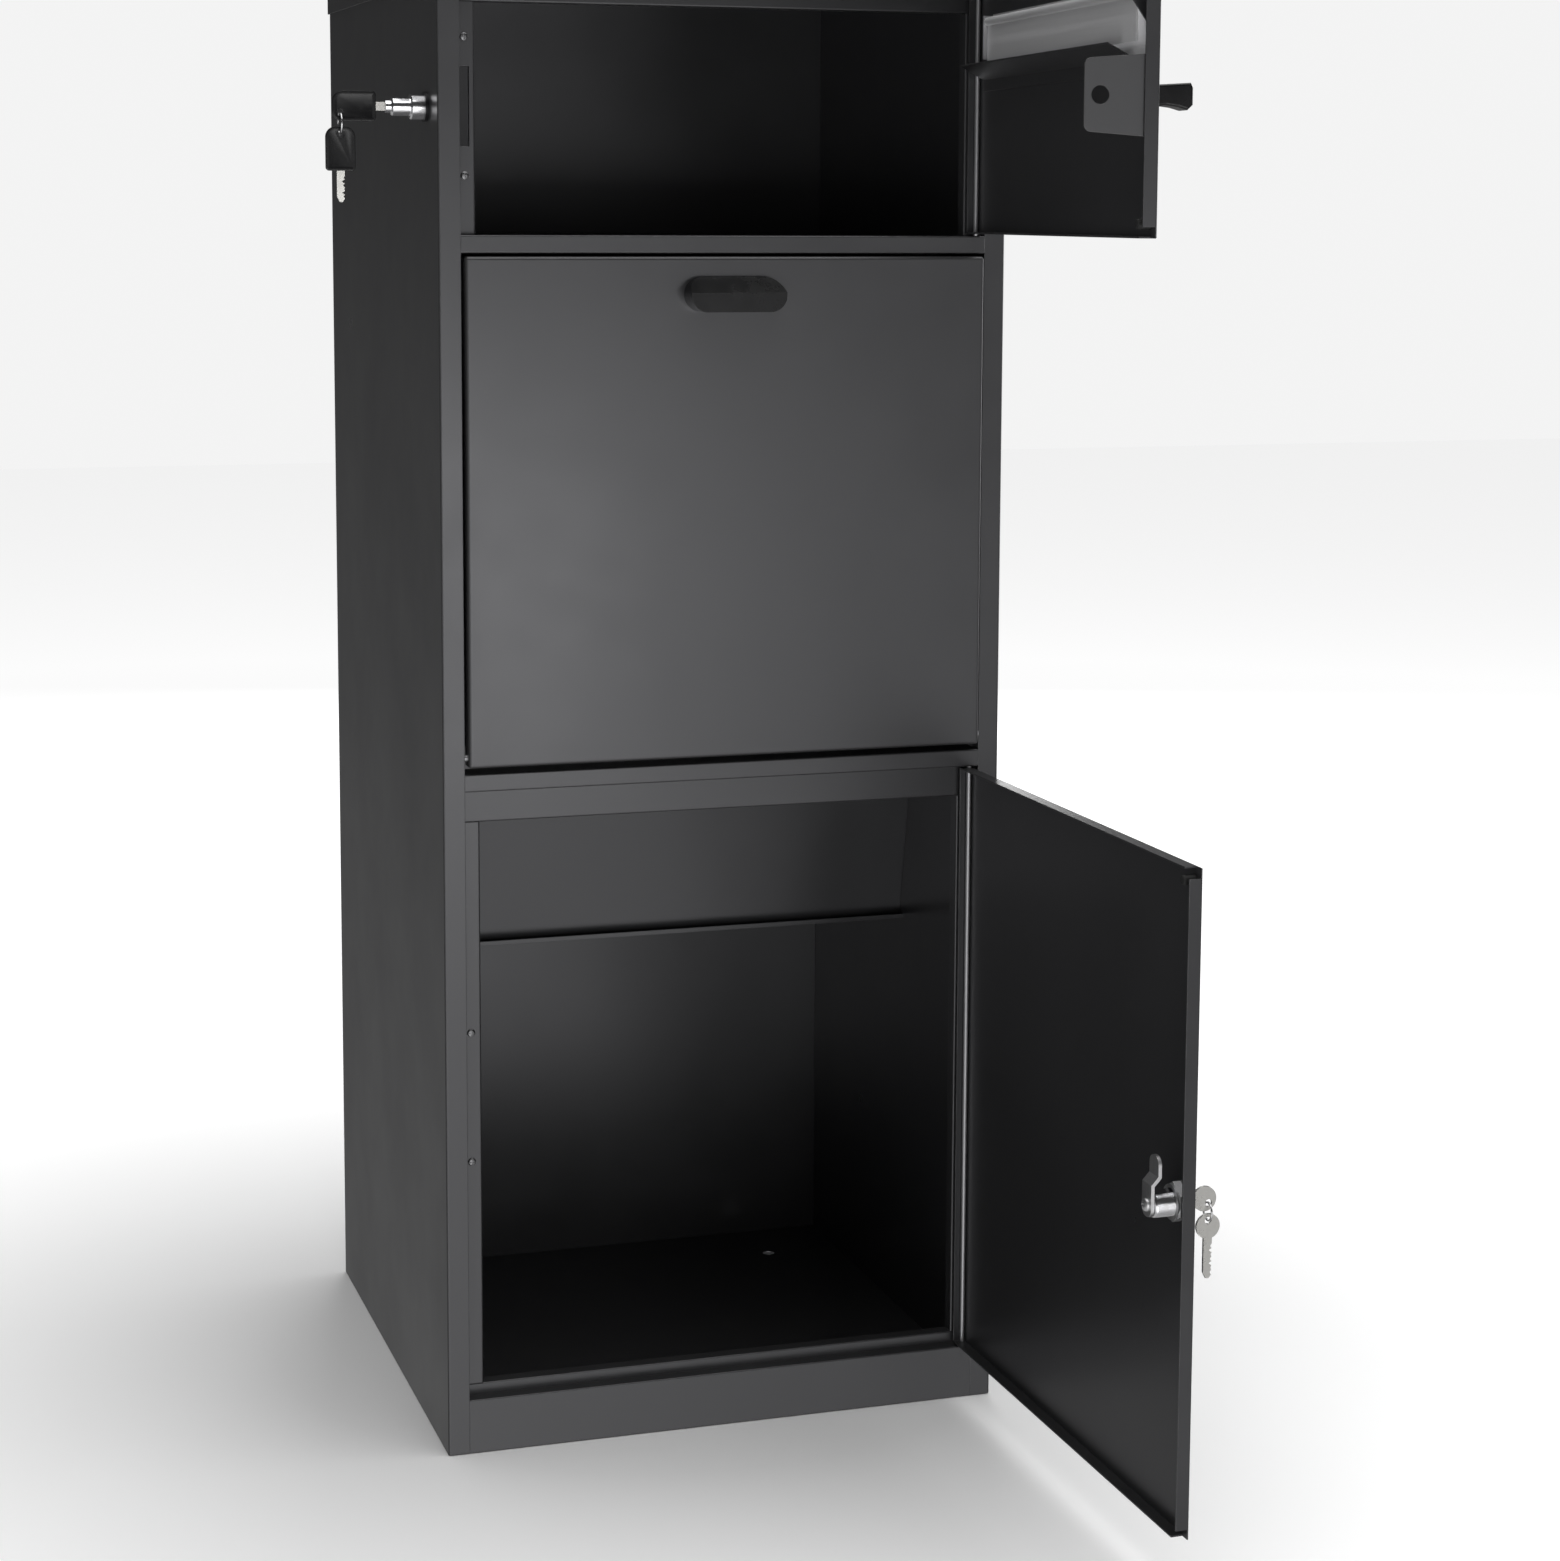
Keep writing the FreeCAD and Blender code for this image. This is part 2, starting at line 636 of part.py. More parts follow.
def rail(label, low, high):
    """A channel across the front, flush with the side flanges, open towards the back."""
    deep = front + size.rail_flange
    outline = [
        (front, low),
        (front, high),
        (deep, high),
        (deep, high - thin),
        (front + thin, high - thin),
        (front + thin, low + thin),
        (deep, low + thin),
        (deep, low),
    ]
    channel = prism(label, "YZ", (-bay_side, bay_side), outline)
    round_edges(channel, thin, lambda middle, along: abs(along.x) > 0.9 and near(middle.y, front))
    return channel


def make_rails():
    keep(rail("upper_channel", upper_rail_bottom, mail_floor), "upper_rail")
    keep(rail("middle_channel", mid_rail_bottom, mid_rail_top), "mid_rail")


def make_headers():
    header = prism(
        "parcel_header_strip",
        "YZ",
        (-bay_side, bay_side),
        [
            (recess, mid_rail_bottom),
            (recess, parcel_bay_top),
            (jamb_back, parcel_bay_top),
            (jamb_back, parcel_bay_top + thin),
            (recess + thin, parcel_bay_top + thin),
            (recess + thin, mid_rail_bottom),
        ],
    )
    round_edges(
        header, thin, lambda middle, along: near(middle.y, recess) and near(middle.z, parcel_bay_top)
    )
    keep(header, "parcel_header")
    # Above the mail bay the strip steps forward over the door and rises behind the cover's lip.
    top_strip = prism(
        "mail_header_strip",
        "YZ",
        (-bay_side, bay_side),
        [
            (jamb_back, mail_bay_top),
            (recess, mail_bay_top),
            (recess, lip_bottom),
            (front, lip_bottom),
            (front, top_inside),
            (front + thin, top_inside),
            (front + thin, lip_bottom + thin),
            (behind_jamb, lip_bottom + thin),
            (behind_jamb, mail_bay_top + thin),
            (jamb_back, mail_bay_top + thin),
        ],
    )
    round_edges(
        top_strip, thin, lambda middle, along: near(middle.y, recess) and near(middle.z, mail_bay_top)
    )
    keep(top_strip, "mail_header")


def jamb(label, way, low, high):
    """A door stop: a recessed strip with its inner edge folded back into the cabinet."""
    outline = [
        (way * bay_side, recess),
        (way * jamb_edge, recess),
        (way * jamb_edge, jamb_back),
        (way * (jamb_edge + thin), jamb_back),
        (way * (jamb_edge + thin), behind_jamb),
        (way * bay_side, behind_jamb),
    ]
    strip = prism(label, "XY", (low, high), outline)
    round_edges(
        strip,
        thin,
        lambda middle, along: abs(along.z) > 0.9
        and near(middle.x, way * jamb_edge)
        and near(middle.y, recess),
    )
    return strip


jamb_screw_x = -(bay_side - size.jamb_screw_inset)
half_pitch = size.jamb_screw_pitch / 2
MAIL_SCREWS = (mail_lock_height - half_pitch, mail_lock_height + half_pitch)
PARCEL_SCREWS = (size.cam_lock_height - half_pitch, size.cam_lock_height + half_pitch)
screw_end = behind_jamb + size.lock_plate_thickness + 3


def screw_holes(name, heights):
    """The shanks' places as rods, for cutting their holes."""
    span = (recess - 1, screw_end + 1)
    return [
        rod(f"{name}_hole", "y", (jamb_screw_x, height), span, size.jamb_screw_diameter) for height in heights
    ]


def lock_plate_slot(name):
    """The space that the lock plate passes through, in the left-hand door stop."""
    half = size.lock_slot_height / 2
    return block(
        name,
        (-bay_side, -(bay_side - size.lock_slot_width)),
        (recess - 1, screw_end),
        (mail_lock_height - half, mail_lock_height + half),
    )


def plate_behind_jamb(name, low, high):
    """A stiff plate on the back of a left-hand door stop."""
    return block(
        name,
        (-bay_side, -(jamb_edge + thin)),
        (behind_jamb, behind_jamb + size.lock_plate_thickness),
        (low, high),
    )


def make_jambs():
    keep(jamb("mail_stop_right", 1, mail_floor, mail_bay_top), "mail_jamb_right")
    keep(jamb("parcel_stop_right", 1, sill_top, parcel_bay_top), "parcel_jamb_right")
    mail_left = jamb("mail_stop_left", -1, mail_floor, mail_bay_top)
    mail_holes = screw_holes("mail_stop", MAIL_SCREWS)
    slotted = cut("mail_stop_slotted", mail_left, lock_plate_slot("stop_slot"), *mail_holes)
    keep(slotted, "mail_jamb_left")
    parcel_left = jamb("parcel_stop_left", -1, sill_top, parcel_bay_top)
    parcel_holes = screw_holes("parcel_stop", PARCEL_SCREWS)
    keep(cut("parcel_stop_drilled", parcel_left, *parcel_holes), "parcel_jamb_left")


def make_plates_behind_jambs():
    reach = size.lock_slot_height / 2 + size.bracket_overhang
    plate = plate_behind_jamb("bracket_plate", mail_lock_height - reach, mail_lock_height + reach)
    tools = screw_holes("bracket", MAIL_SCREWS)
    keep(cut("bracket_slotted", plate, lock_plate_slot("bracket_slot"), *tools), "lock_bracket")
    reach = size.keeper_height / 2
    plate = plate_behind_jamb("keeper", size.cam_lock_height - reach, size.cam_lock_height + reach)
    keep(cut("keeper_drilled", plate, *screw_holes("keeper", PARCEL_SCREWS)), "keeper_plate")
    head = size.jamb_screw_head_diameter / 2
    shank = size.jamb_screw_diameter / 2
    profile = [
        (recess - 1.2, Size(0)),
        (screw_end, Size(0)),
        (screw_end, shank),
        (recess, shank),
        (recess, head),
        (recess - 0.6, head),
        (recess - 1.2, head - 0.8),
    ]
    screws = [
        turned(f"jamb_screw_{index}", "y", (jamb_screw_x, height), profile)
        for index, height in enumerate(MAIL_SCREWS + PARCEL_SCREWS, start=1)
    ]
    keep(group("jamb_screw_set", screws), "jamb_screws")


def make_plinth_and_sill():
    plinth = prism(
        "plinth_strip",
        "YZ",
        (-bay_side, bay_side),
        [
            (front, Size(0)),
            (front, plinth_top),
            (recess, plinth_top),
            (recess, plinth_top - thin),
            (front + thin, plinth_top - thin),
            (front + thin, Size(0)),
        ],
    )
    round_edges(plinth, thin, lambda middle, along: near(middle.y, front) and near(middle.z, plinth_top))
    keep(plinth, "plinth")
    sill_low = plinth_top - size.sill_height
    sill = prism(
        "sill_strip",
        "YZ",
        (-bay_side, bay_side),
        [
            (recess, sill_low),
            (recess, sill_top),
            (jamb_back, sill_top),
            (jamb_back, sill_top - thin),
            (behind_jamb, sill_top - thin),
            (behind_jamb, sill_low),
        ],
    )
    round_edges(sill, thin, lambda middle, along: near(middle.y, recess) and near(middle.z, sill_top))
    keep(sill, "sill")


def make_drop_baffle():
    """The sloped sheet behind the flap, from the mail shelf down into the parcel bay."""
    top_y = front + size.baffle_top_depth
    low_y = front + size.baffle_bottom_depth
    low_z = size.baffle_bottom_height
    lip_y = low_y - size.baffle_lip
    baffle = prism(
        "baffle_sheet",
        "YZ",
        (-inner_side, inner_side),
        [
            (top_y, shelf_bottom),
            (low_y, low_z + thin),
            (lip_y + thin, low_z + thin),
            (lip_y + thin, low_z + 3 * thin),
            (lip_y, low_z + 3 * thin),
            (lip_y, low_z),
            (low_y + thin, low_z),
            (top_y + thin, shelf_bottom - thin),
            (top_y + size.baffle_lip, shelf_bottom - thin),
            (top_y + size.baffle_lip, shelf_bottom),
        ],
    )
    keep(baffle, "drop_baffle")


def make_hinge_rods():
    place = (hinge_x, hinge_y)
    keep(rod("mail_rod", "z", place, (mail_floor, lip_bottom), size.hinge_rod_diameter), "mail_hinge_rod")
    span = (plinth_top, mid_rail_bottom)
    keep(rod("parcel_rod", "z", place, span, size.hinge_rod_diameter), "parcel_hinge_rod")
    pin_y = front + size.flap_pin_depth
    reach = bay_side - size.flap_pin_length
    pins = [
        rod("flap_pin_left", "x", (pin_y, flap_pin_z), (-bay_side, -reach), size.flap_pin_diameter),
        rod("flap_pin_right", "x", (pin_y, flap_pin_z), (reach, bay_side), size.flap_pin_diameter),
    ]
    keep(group("flap_pins", pins), "flap_hinge_pins")


# The doors' panels.


def door_pan(name, low, high):
    """A door's skin with a return along each edge, drilled for the hinge rod."""
    pan = new_body(name)
    hinge_edge = size.hinge_inset
    pad(pan, "XZ", (skin_out, return_edge), points=rectangle(free_edge, hinge_edge, low, high))
    inside = rectangle(free_edge + thin, hinge_edge - thin, low + thin, high - thin)
    pocket(pan, "XZ", (skin_in, return_edge), points=inside)
    relief = size.corner_relief
    for corner_low, corner_high in ((low, low + relief), (high - relief, high)):
        corner = rectangle(free_edge, free_edge + relief, corner_low, corner_high)
        pocket(pan, "XZ", (skin_in, return_edge), points=corner)
    round_edges(pan, thin * 0.9, lambda middle, along: near(middle.y, skin_out))
    hole = size.hinge_rod_diameter + 2 * size.running_clearance
    return pan, rod(f"{name}_rod_hole", "z", (0, 0), (low - 1, high + 1), hole)


def bumper(label, frame, height):
    """A rubber stop near a door's free corner, just short of the door stop that it meets."""
    reach = size.recess_depth - size.hinge_inset - 0.4
    profile = [
        (skin_in, Size(0)),
        (reach, Size(0)),
        (reach, size.bumper_diameter / 2 - 0.8),
        (reach - 0.8, size.bumper_diameter / 2),
        (skin_in, size.bumper_diameter / 2),
    ]
    keep(turned(f"{label}_turned", "y", (free_edge + size.bumper_inset, height), profile), label, frame)


def make_parcel_door():
    pan, hole = door_pan("parcel_pan", parcel_door_low, parcel_door_high)
    lock_x = free_edge + size.cam_lock_inset
    lock_hole = rod(
        "cam_lock_hole",
        "y",
        (lock_x, size.cam_lock_height),
        (skin_out - 1, skin_in + 1),
        size.cam_lock_diameter,
    )
    keep(cut("parcel_pan_drilled", pan, hole, lock_hole), "parcel_door_panel", PARCEL_DOOR)
    bumper("parcel_door_bumper", PARCEL_DOOR, parcel_door_high - size.bumper_inset)


slot_low = mail_floor + size.slot_rise
slot_high = slot_low + size.slot_height
slot_far = -(size.slot_start + size.slot_length)
frame_inner = skin_in + size.slot_frame_thickness
frame_low = slot_low - size.slot_frame_border
slot_rod_y = skin_out + size.slot_rod_depth
slot_rod_z = slot_high + size.slot_rod_rise
slot_middle = -(size.slot_start + size.slot_length / 2)
slot_flap_near = slot_middle + size.slot_flap_length / 2
slot_flap_far = slot_middle - size.slot_flap_length / 2


def slot_window(name):
    """The mail slot as a block, for cutting it through the door and its frame."""
    return block(name, (slot_far, -size.slot_start), (skin_out - 1, frame_inner + 1), (slot_low, slot_high))


def make_mail_door():
    pan, hole = door_pan("mail_pan", mail_door_low, mail_door_high)
    keep(cut("mail_pan_cut", pan, hole, slot_window("door_slot")), "mail_door_panel", MAIL_DOOR)
    bumper("mail_door_bumper", MAIL_DOOR, mail_door_low + size.bumper_inset)
    plate_x = free_edge + thin + size.lock_plate_inset
    bolt_y = size.mail_lock_depth - size.hinge_inset
    tip_y = bolt_y + size.lock_plate_overhang
    root = size.lock_plate_height / 2
    tip = size.lock_plate_tip_height / 2
    plate = prism(
        "lock_plate_sheet",
        "YZ",
        (plate_x, plate_x + size.lock_plate_thickness),
        [
            (skin_in, mail_lock_height - root),
            (tip_y, mail_lock_height - tip),
            (tip_y, mail_lock_height + tip),
            (skin_in, mail_lock_height + root),
        ],
    )
    round_edges(plate, 5, lambda middle, along: abs(along.x) > 0.9 and near(middle.y, tip_y))
    place = ((bolt_y, mail_lock_height), size.lock_plate_hole_diameter)
    pocket(plate, "YZ", (plate_x, plate_x + size.lock_plate_thickness), circle=place)
    keep(plate, "lock_plate", MAIL_DOOR)


def make_door_grip():
    """A finger grip: flat above, waisted below, with a drooping outer lip."""
    middle_x = free_edge + size.grip_inset
    half = size.grip_width / 2
    end = skin_out - size.grip_depth
    grip = prism(
        "grip_block",
        "YZ",
        (middle_x - half, middle_x + half),
        [
            (skin_out, mail_lock_height + 6.8),
            (end + 1.5, mail_lock_height + 8.2),
            (end, mail_lock_height + 5.0),
            (end, mail_lock_height - 5.5),
            (end + 3.5, mail_lock_height - 8.8),
            (end + 10, mail_lock_height - 7.0),
            (skin_out - 6, mail_lock_height - 6.0),
            (skin_out, mail_lock_height - 6.8),
        ],
    )
    round_edges(grip, 1.6, lambda middle, along: abs(along.x) < 0.9 and not near(middle.y, skin_out))
    keep(grip, "door_grip", MAIL_DOOR)


def make_slot():
    """The mail slot's inner frame, its hanging flap on a rod, the rod's brackets and their screws."""
    reach = size.slot_tab_length
    far_bracket = slot_flap_far - size.slot_bracket_gap
    near_bracket = slot_flap_near + size.slot_bracket_gap
    frame_high = slot_high + size.slot_frame_border
    plate = block(
        "frame_plate",
        (far_bracket, near_bracket + reach),
        (skin_in, frame_inner),
        (frame_low, frame_high),
    )
    keep(cut("frame_cut", plate, slot_window("frame_slot")), "slot_frame", MAIL_DOOR)
    rod_place = (slot_rod_y, slot_rod_z)
    ends = (far_bracket - size.slot_bracket_thickness, near_bracket + size.slot_bracket_thickness)
    keep(rod("flap_rod", "x", rod_place, ends, size.slot_rod_diameter), "slot_rod", MAIL_DOOR)
    half = size.slot_frame_thickness / 2
    leaf = block(
        "flap_leaf",
        (slot_flap_far, slot_flap_near),
        (slot_rod_y - half, slot_rod_y + half),
        (slot_rod_z - size.slot_flap_drop, slot_rod_z - size.slot_curl_diameter / 2 + 0.5),
    )
    curl = rod("flap_curl", "x", rod_place, (slot_flap_far, slot_flap_near), size.slot_curl_diameter)
    bore = size.slot_rod_diameter + 2 * size.running_clearance
    bored = rod("flap_bore", "x", rod_place, (slot_flap_far - 1, slot_flap_near + 1), bore)
    keep(cut("flap_bored", join("flap_sheet", leaf, curl), bored), "slot_flap", MAIL_DOOR)
    edge = slot_rod_y + 3.4
    tab = size.slot_bracket_thickness
    tab_top = slot_rod_z + 4
    make_slot_bracket("near", near_bracket, 1, slot_low, tab_top, edge, tab)
    make_slot_bracket("far", far_bracket, -1, slot_low + 8, tab_top, edge, tab)


def make_slot_bracket(which, inner_x, way, low, high, edge, tab):
    """An end plate that holds the rod, with a tab for its screw folded away from the flap."""
    outer_x = inner_x + way * size.slot_bracket_thickness
    across = (inner_x, outer_x) if way > 0 else (outer_x, inner_x)
    tab_reach = size.slot_tab_length if way > 0 else size.slot_tab_length - 4
    tab_end = inner_x + way * tab_reach
    tab_across = (outer_x, tab_end) if way > 0 else (tab_end, outer_x)
    tab_base = frame_inner if way > 0 else skin_in
    outline = [(tab_base, low), (edge, low), (edge, high), (tab_base, high)]
    if way < 0:
        narrow_foot = [(tab_base + size.slot_bracket_foot, low), (edge, high - size.slot_bracket_head)]
        outline[1:2] = narrow_foot
    wall = prism(f"{which}_bracket_wall", "YZ", across, outline)
    foot = block(f"{which}_bracket_tab", tab_across, (tab_base, tab_base + tab), (high - 14, high))
    screw_x = (outer_x + tab_end) / 2
    screw_z = high - 7
    shank = size.jamb_screw_diameter / 2
    head = size.slot_screw_diameter / 2
    face = tab_base + tab
    place = (screw_x, screw_z)
    hole = rod(f"{which}_bracket_hole", "y", place, (skin_in, face + 1), size.jamb_screw_diameter)
    through = (across[0] - 1, across[1] + 1)
    rod_hole = rod(f"{which}_rod_hole", "x", (slot_rod_y, slot_rod_z), through, size.slot_rod_diameter)
    label = "slot_bracket_hinge_side" if way > 0 else "slot_bracket_free_side"
    joined = join(f"{which}_bracket_joined", wall, foot)
    keep(cut(f"{which}_bracket_drilled", joined, hole, rod_hole), label, MAIL_DOOR)
    profile = [
        (tab_base, Size(0)),
        (face + 2.4, Size(0)),
        (face + 2.4, head - 1.4),
        (face + 1.2, head),
        (face, head),
        (face, shank),
        (tab_base, shank),
    ]
    SLOT_SCREWS.append(turned(f"{which}_slot_screw", "y", place, profile))


SLOT_SCREWS = []


def make_mail_baffle():
    """A sloped ledge below the slot, which keeps a hand or a wire from reaching down into the bay."""
    root_z = frame_low - 1.5
    edge_y = skin_out + size.mail_baffle_depth
    edge_z = root_z + size.mail_baffle_rise
    baffle = prism(
        "mail_baffle_sheet",
        "YZ",
        (-(size.mail_baffle_start + size.mail_baffle_length), -size.mail_baffle_start),
        [
            (skin_in, root_z),
            (skin_in, root_z - size.mail_baffle_flange),
            (skin_in + thin, root_z - size.mail_baffle_flange),
            (skin_in + thin, root_z - thin / 2),
            (edge_y, edge_z - thin),
            (edge_y, edge_z),
        ],
    )
    keep(baffle, "mail_baffle", MAIL_DOOR)


# The parcel flap.


def make_flap_panel():
    pan = new_body("flap_pan")
    rear = flap_front + size.flap_depth
    pad(pan, "XZ", (flap_front, rear), points=rectangle(-flap_side, flap_side, flap_low, flap_high))
    inside = rectangle(-flap_side + thin, flap_side - thin, flap_low + thin, flap_high - thin)
    pocket(pan, "XZ", (flap_skin, rear), points=inside)
    edge = flap_side.value

    def outer_edge(middle, along):
        corner = abs(along.y) > 0.9 and abs(abs(middle.x) - edge) < 0.01
        return corner or near(middle.y, flap_front)

    round_edges(pan, size.flap_edge_radius, outer_edge)
    hole = size.flap_pin_diameter + 2 * size.running_clearance
    holes = rod("flap_pin_holes", "x", (0, 0), (-flap_side - 1, flap_side + 1), hole)
    keep(cut("flap_pan_drilled", pan, holes), "flap_panel", FLAP)


def cheek(label, way):
    """A plate inside each side of the flap, which guides the parcel and carries the stop tab."""
    outer = flap_side - thin
    inner = outer - thin
    across = (way * inner, way * outer) if way > 0 else (way * outer, way * inner)
    top = flap_high - size.cheek_top_gap + size.flap_top_gap
    tab_y = size.cheek_stop_depth
    tab_z = size.cheek_stop_height
    hole = size.flap_pin_diameter + 2 * size.running_clearance
    low = flap_low + 2 * thin
    plate = prism(
        f"{label}_plate",
        "YZ",
        across,
        [
            (flap_skin, low),
            (Size(4), low),
            (tab_y, tab_z),
            (tab_y, tab_z + size.stop_tab),
            (size.cheek_reach, top),
            (flap_skin, top),
        ],
    )
    tab_across = (inner, outer + size.stop_tab_reach) if way > 0 else (-outer - size.stop_tab_reach, -inner)
    tab = block(f"{label}_tab", tab_across, (tab_y - thin, tab_y), (tab_z, tab_z + size.stop_tab))
    bore = rod(f"{label}_hole", "x", (0, 0), (across[0] - 1, across[1] + 1), hole)
    keep(cut(f"{label}_drilled", join(f"{label}_joined", plate, tab), bore), label, FLAP)


def stadium(width, height, middle_z):
    """A rounded bar's outline as a rectangle and the centres of its two round ends."""
    straight = to_size(width) / 2 - to_size(height) / 2
    return straight, middle_z - to_size(height) / 2, middle_z + to_size(height) / 2


def stadium_solid(name, width, height, middle_z, span):
    """A bar with round ends, between two depths."""
    straight, low, high = stadium(width, height, middle_z)
    bar = block(f"{name}_bar", (-straight, straight), span, (low, high))
    left = rod(f"{name}_left", "y", (-straight, middle_z), span, height)
    right = rod(f"{name}_right", "y", (straight, middle_z), span, height)
    return join(name, bar, left, right)


def make_cup_pull():
    """A cup pull: a hood that slopes out to a flat band, hollow from below for the fingers."""
    middle_z = upper_rail_bottom - size.pull_drop - flap_pin_z
    deep = size.pull_depth
    wall = size.pull_wall
    high = middle_z + size.pull_height / 2
    low = middle_z - size.pull_height / 2
    band_high = low + size.pull_band
    outer_front = flap_front - deep
    deep_outer = (outer_front, flap_front)
    outer = stadium_solid("pull_outer", size.pull_width, size.pull_height, middle_z, deep_outer)
    half = size.pull_width / 2
    slope = prism(
        "pull_slope",
        "YZ",
        (-half - 1, half + 1),
        [(flap_front - 3, high + 1), (outer_front - 1, high + 1), (outer_front - 1, band_high)],
    )
    hood = cut("pull_hood", outer, slope)
    inner_front = outer_front + wall
    inner_width = size.pull_width - 2 * wall
    inner_height = size.pull_height - 2 * wall
    inner = stadium_solid("pull_inner", inner_width, inner_height, middle_z, (inner_front, flap_front))
    inner_slope = prism(
        "pull_inner_slope",
        "YZ",
        (-half - 1, half + 1),
        [
            (flap_front - 3 + wall, high + 1),
            (inner_front - 1, high + 1),
            (inner_front - 1, band_high - wall),
        ],
    )
    hollow = cut("pull_hollow", inner, inner_slope)
    straight = size.pull_width / 2 - size.pull_height / 2
    mouth = block("pull_mouth", (-straight, straight), (inner_front, flap_front - wall), (low - 1, middle_z))
    hooded = cut("pull_shell", hood, hollow, mouth)
    keep(hooded, "flap_pull", FLAP)


# The side lock of the mail door: a push lock with a key, in the left-hand side panel.


def make_side_lock():
    centre = (mail_lock_y, mail_lock_height)
    ring_out = -side - size.trim_ring_thickness
    collar_out = ring_out - size.collar_length
    inside_end = -side + size.housing_length
    neck = size.housing_diameter
    ring = tube_profile(ring_out, -side, neck, size.trim_ring_diameter)
    keep(turned("trim_ring", "x", centre, ring), "side_lock_ring")
    bore = size.barrel_diameter / 2 + size.running_clearance
    bolt_bore = size.bolt_diameter / 2 + size.running_clearance
    end_wall = inside_end - size.housing_end
    housing = turned(
        "lock_housing",
        "x",
        centre,
        [
            (collar_out, bore),
            (end_wall, bore),
            (end_wall, bolt_bore),
            (inside_end, bolt_bore),
            (inside_end, neck / 2),
            (ring_out, neck / 2),
            (ring_out, size.collar_diameter / 2),
            (collar_out + 1, size.collar_diameter / 2),
            (collar_out, size.collar_diameter / 2 - 1),
        ],
    )
    keep(housing, "side_lock_housing")
    nut = new_body("side_nut")
    span = (-inner_side, -inner_side + size.nut_thickness)
    pad(nut, "YZ", span, points=hexagon(centre, size.nut_width))
    pocket(nut, "YZ", span, circle=(centre, neck))
    keep(nut, "side_lock_nut")
    barrel_front = collar_out - size.barrel_out
    barrel_back = collar_out + size.barrel_in
    radius = size.barrel_diameter / 2
    plug_bore = size.plug_diameter / 2 + size.running_clearance
    plug_back = barrel_front + size.plug_length
    barrel = turned(
        "lock_barrel",
        "x",
        centre,
        [
            (barrel_front, plug_bore),
            (plug_back, plug_bore),
            (plug_back, Size(0)),
            (barrel_back, Size(0)),
            (barrel_back, radius),
            (barrel_front + 1.2, radius),
            (barrel_front, radius - 1.2),
        ],
    )
    keep(barrel, "side_lock_barrel")
    bolt = rod("bolt_pin", "x", centre, (barrel_back, barrel_back + size.bolt_length), size.bolt_diameter)
    keep(bolt, "side_lock_bolt")
    nose = barrel_front - size.plug_nose
    plug = turned("side_plug", "x", centre, shaft_profile(nose, plug_back - 0.1, size.plug_diameter))
    slit_half = size.key_thickness / 2 + size.key_gap
    slit_rise = size.key_blade_width / 2 + size.key_gap
    slit = block(
        "side_plug_slit",
        (nose - 1, plug_back - 1),
        (mail_lock_y - slit_half, mail_lock_y + slit_half),
        (mail_lock_height - slit_rise, mail_lock_height + slit_rise),
    )
    keep(cut("side_plug_slit_cut", plug, slit), "side_lock_plug")
    make_side_keys(nose, plug_back)


def moulded_bow(name, across, high, hole):
    """A key's plastic bow in the plane that faces the front, with a hole for the ring."""
    half = size.cover_bow_thickness / 2
    span = (mail_lock_y - half, mail_lock_y + half)
    bow = prism(name, "XZ", span, rectangle(across[0], across[1], high[0], high[1]))
    return bow, span, hole


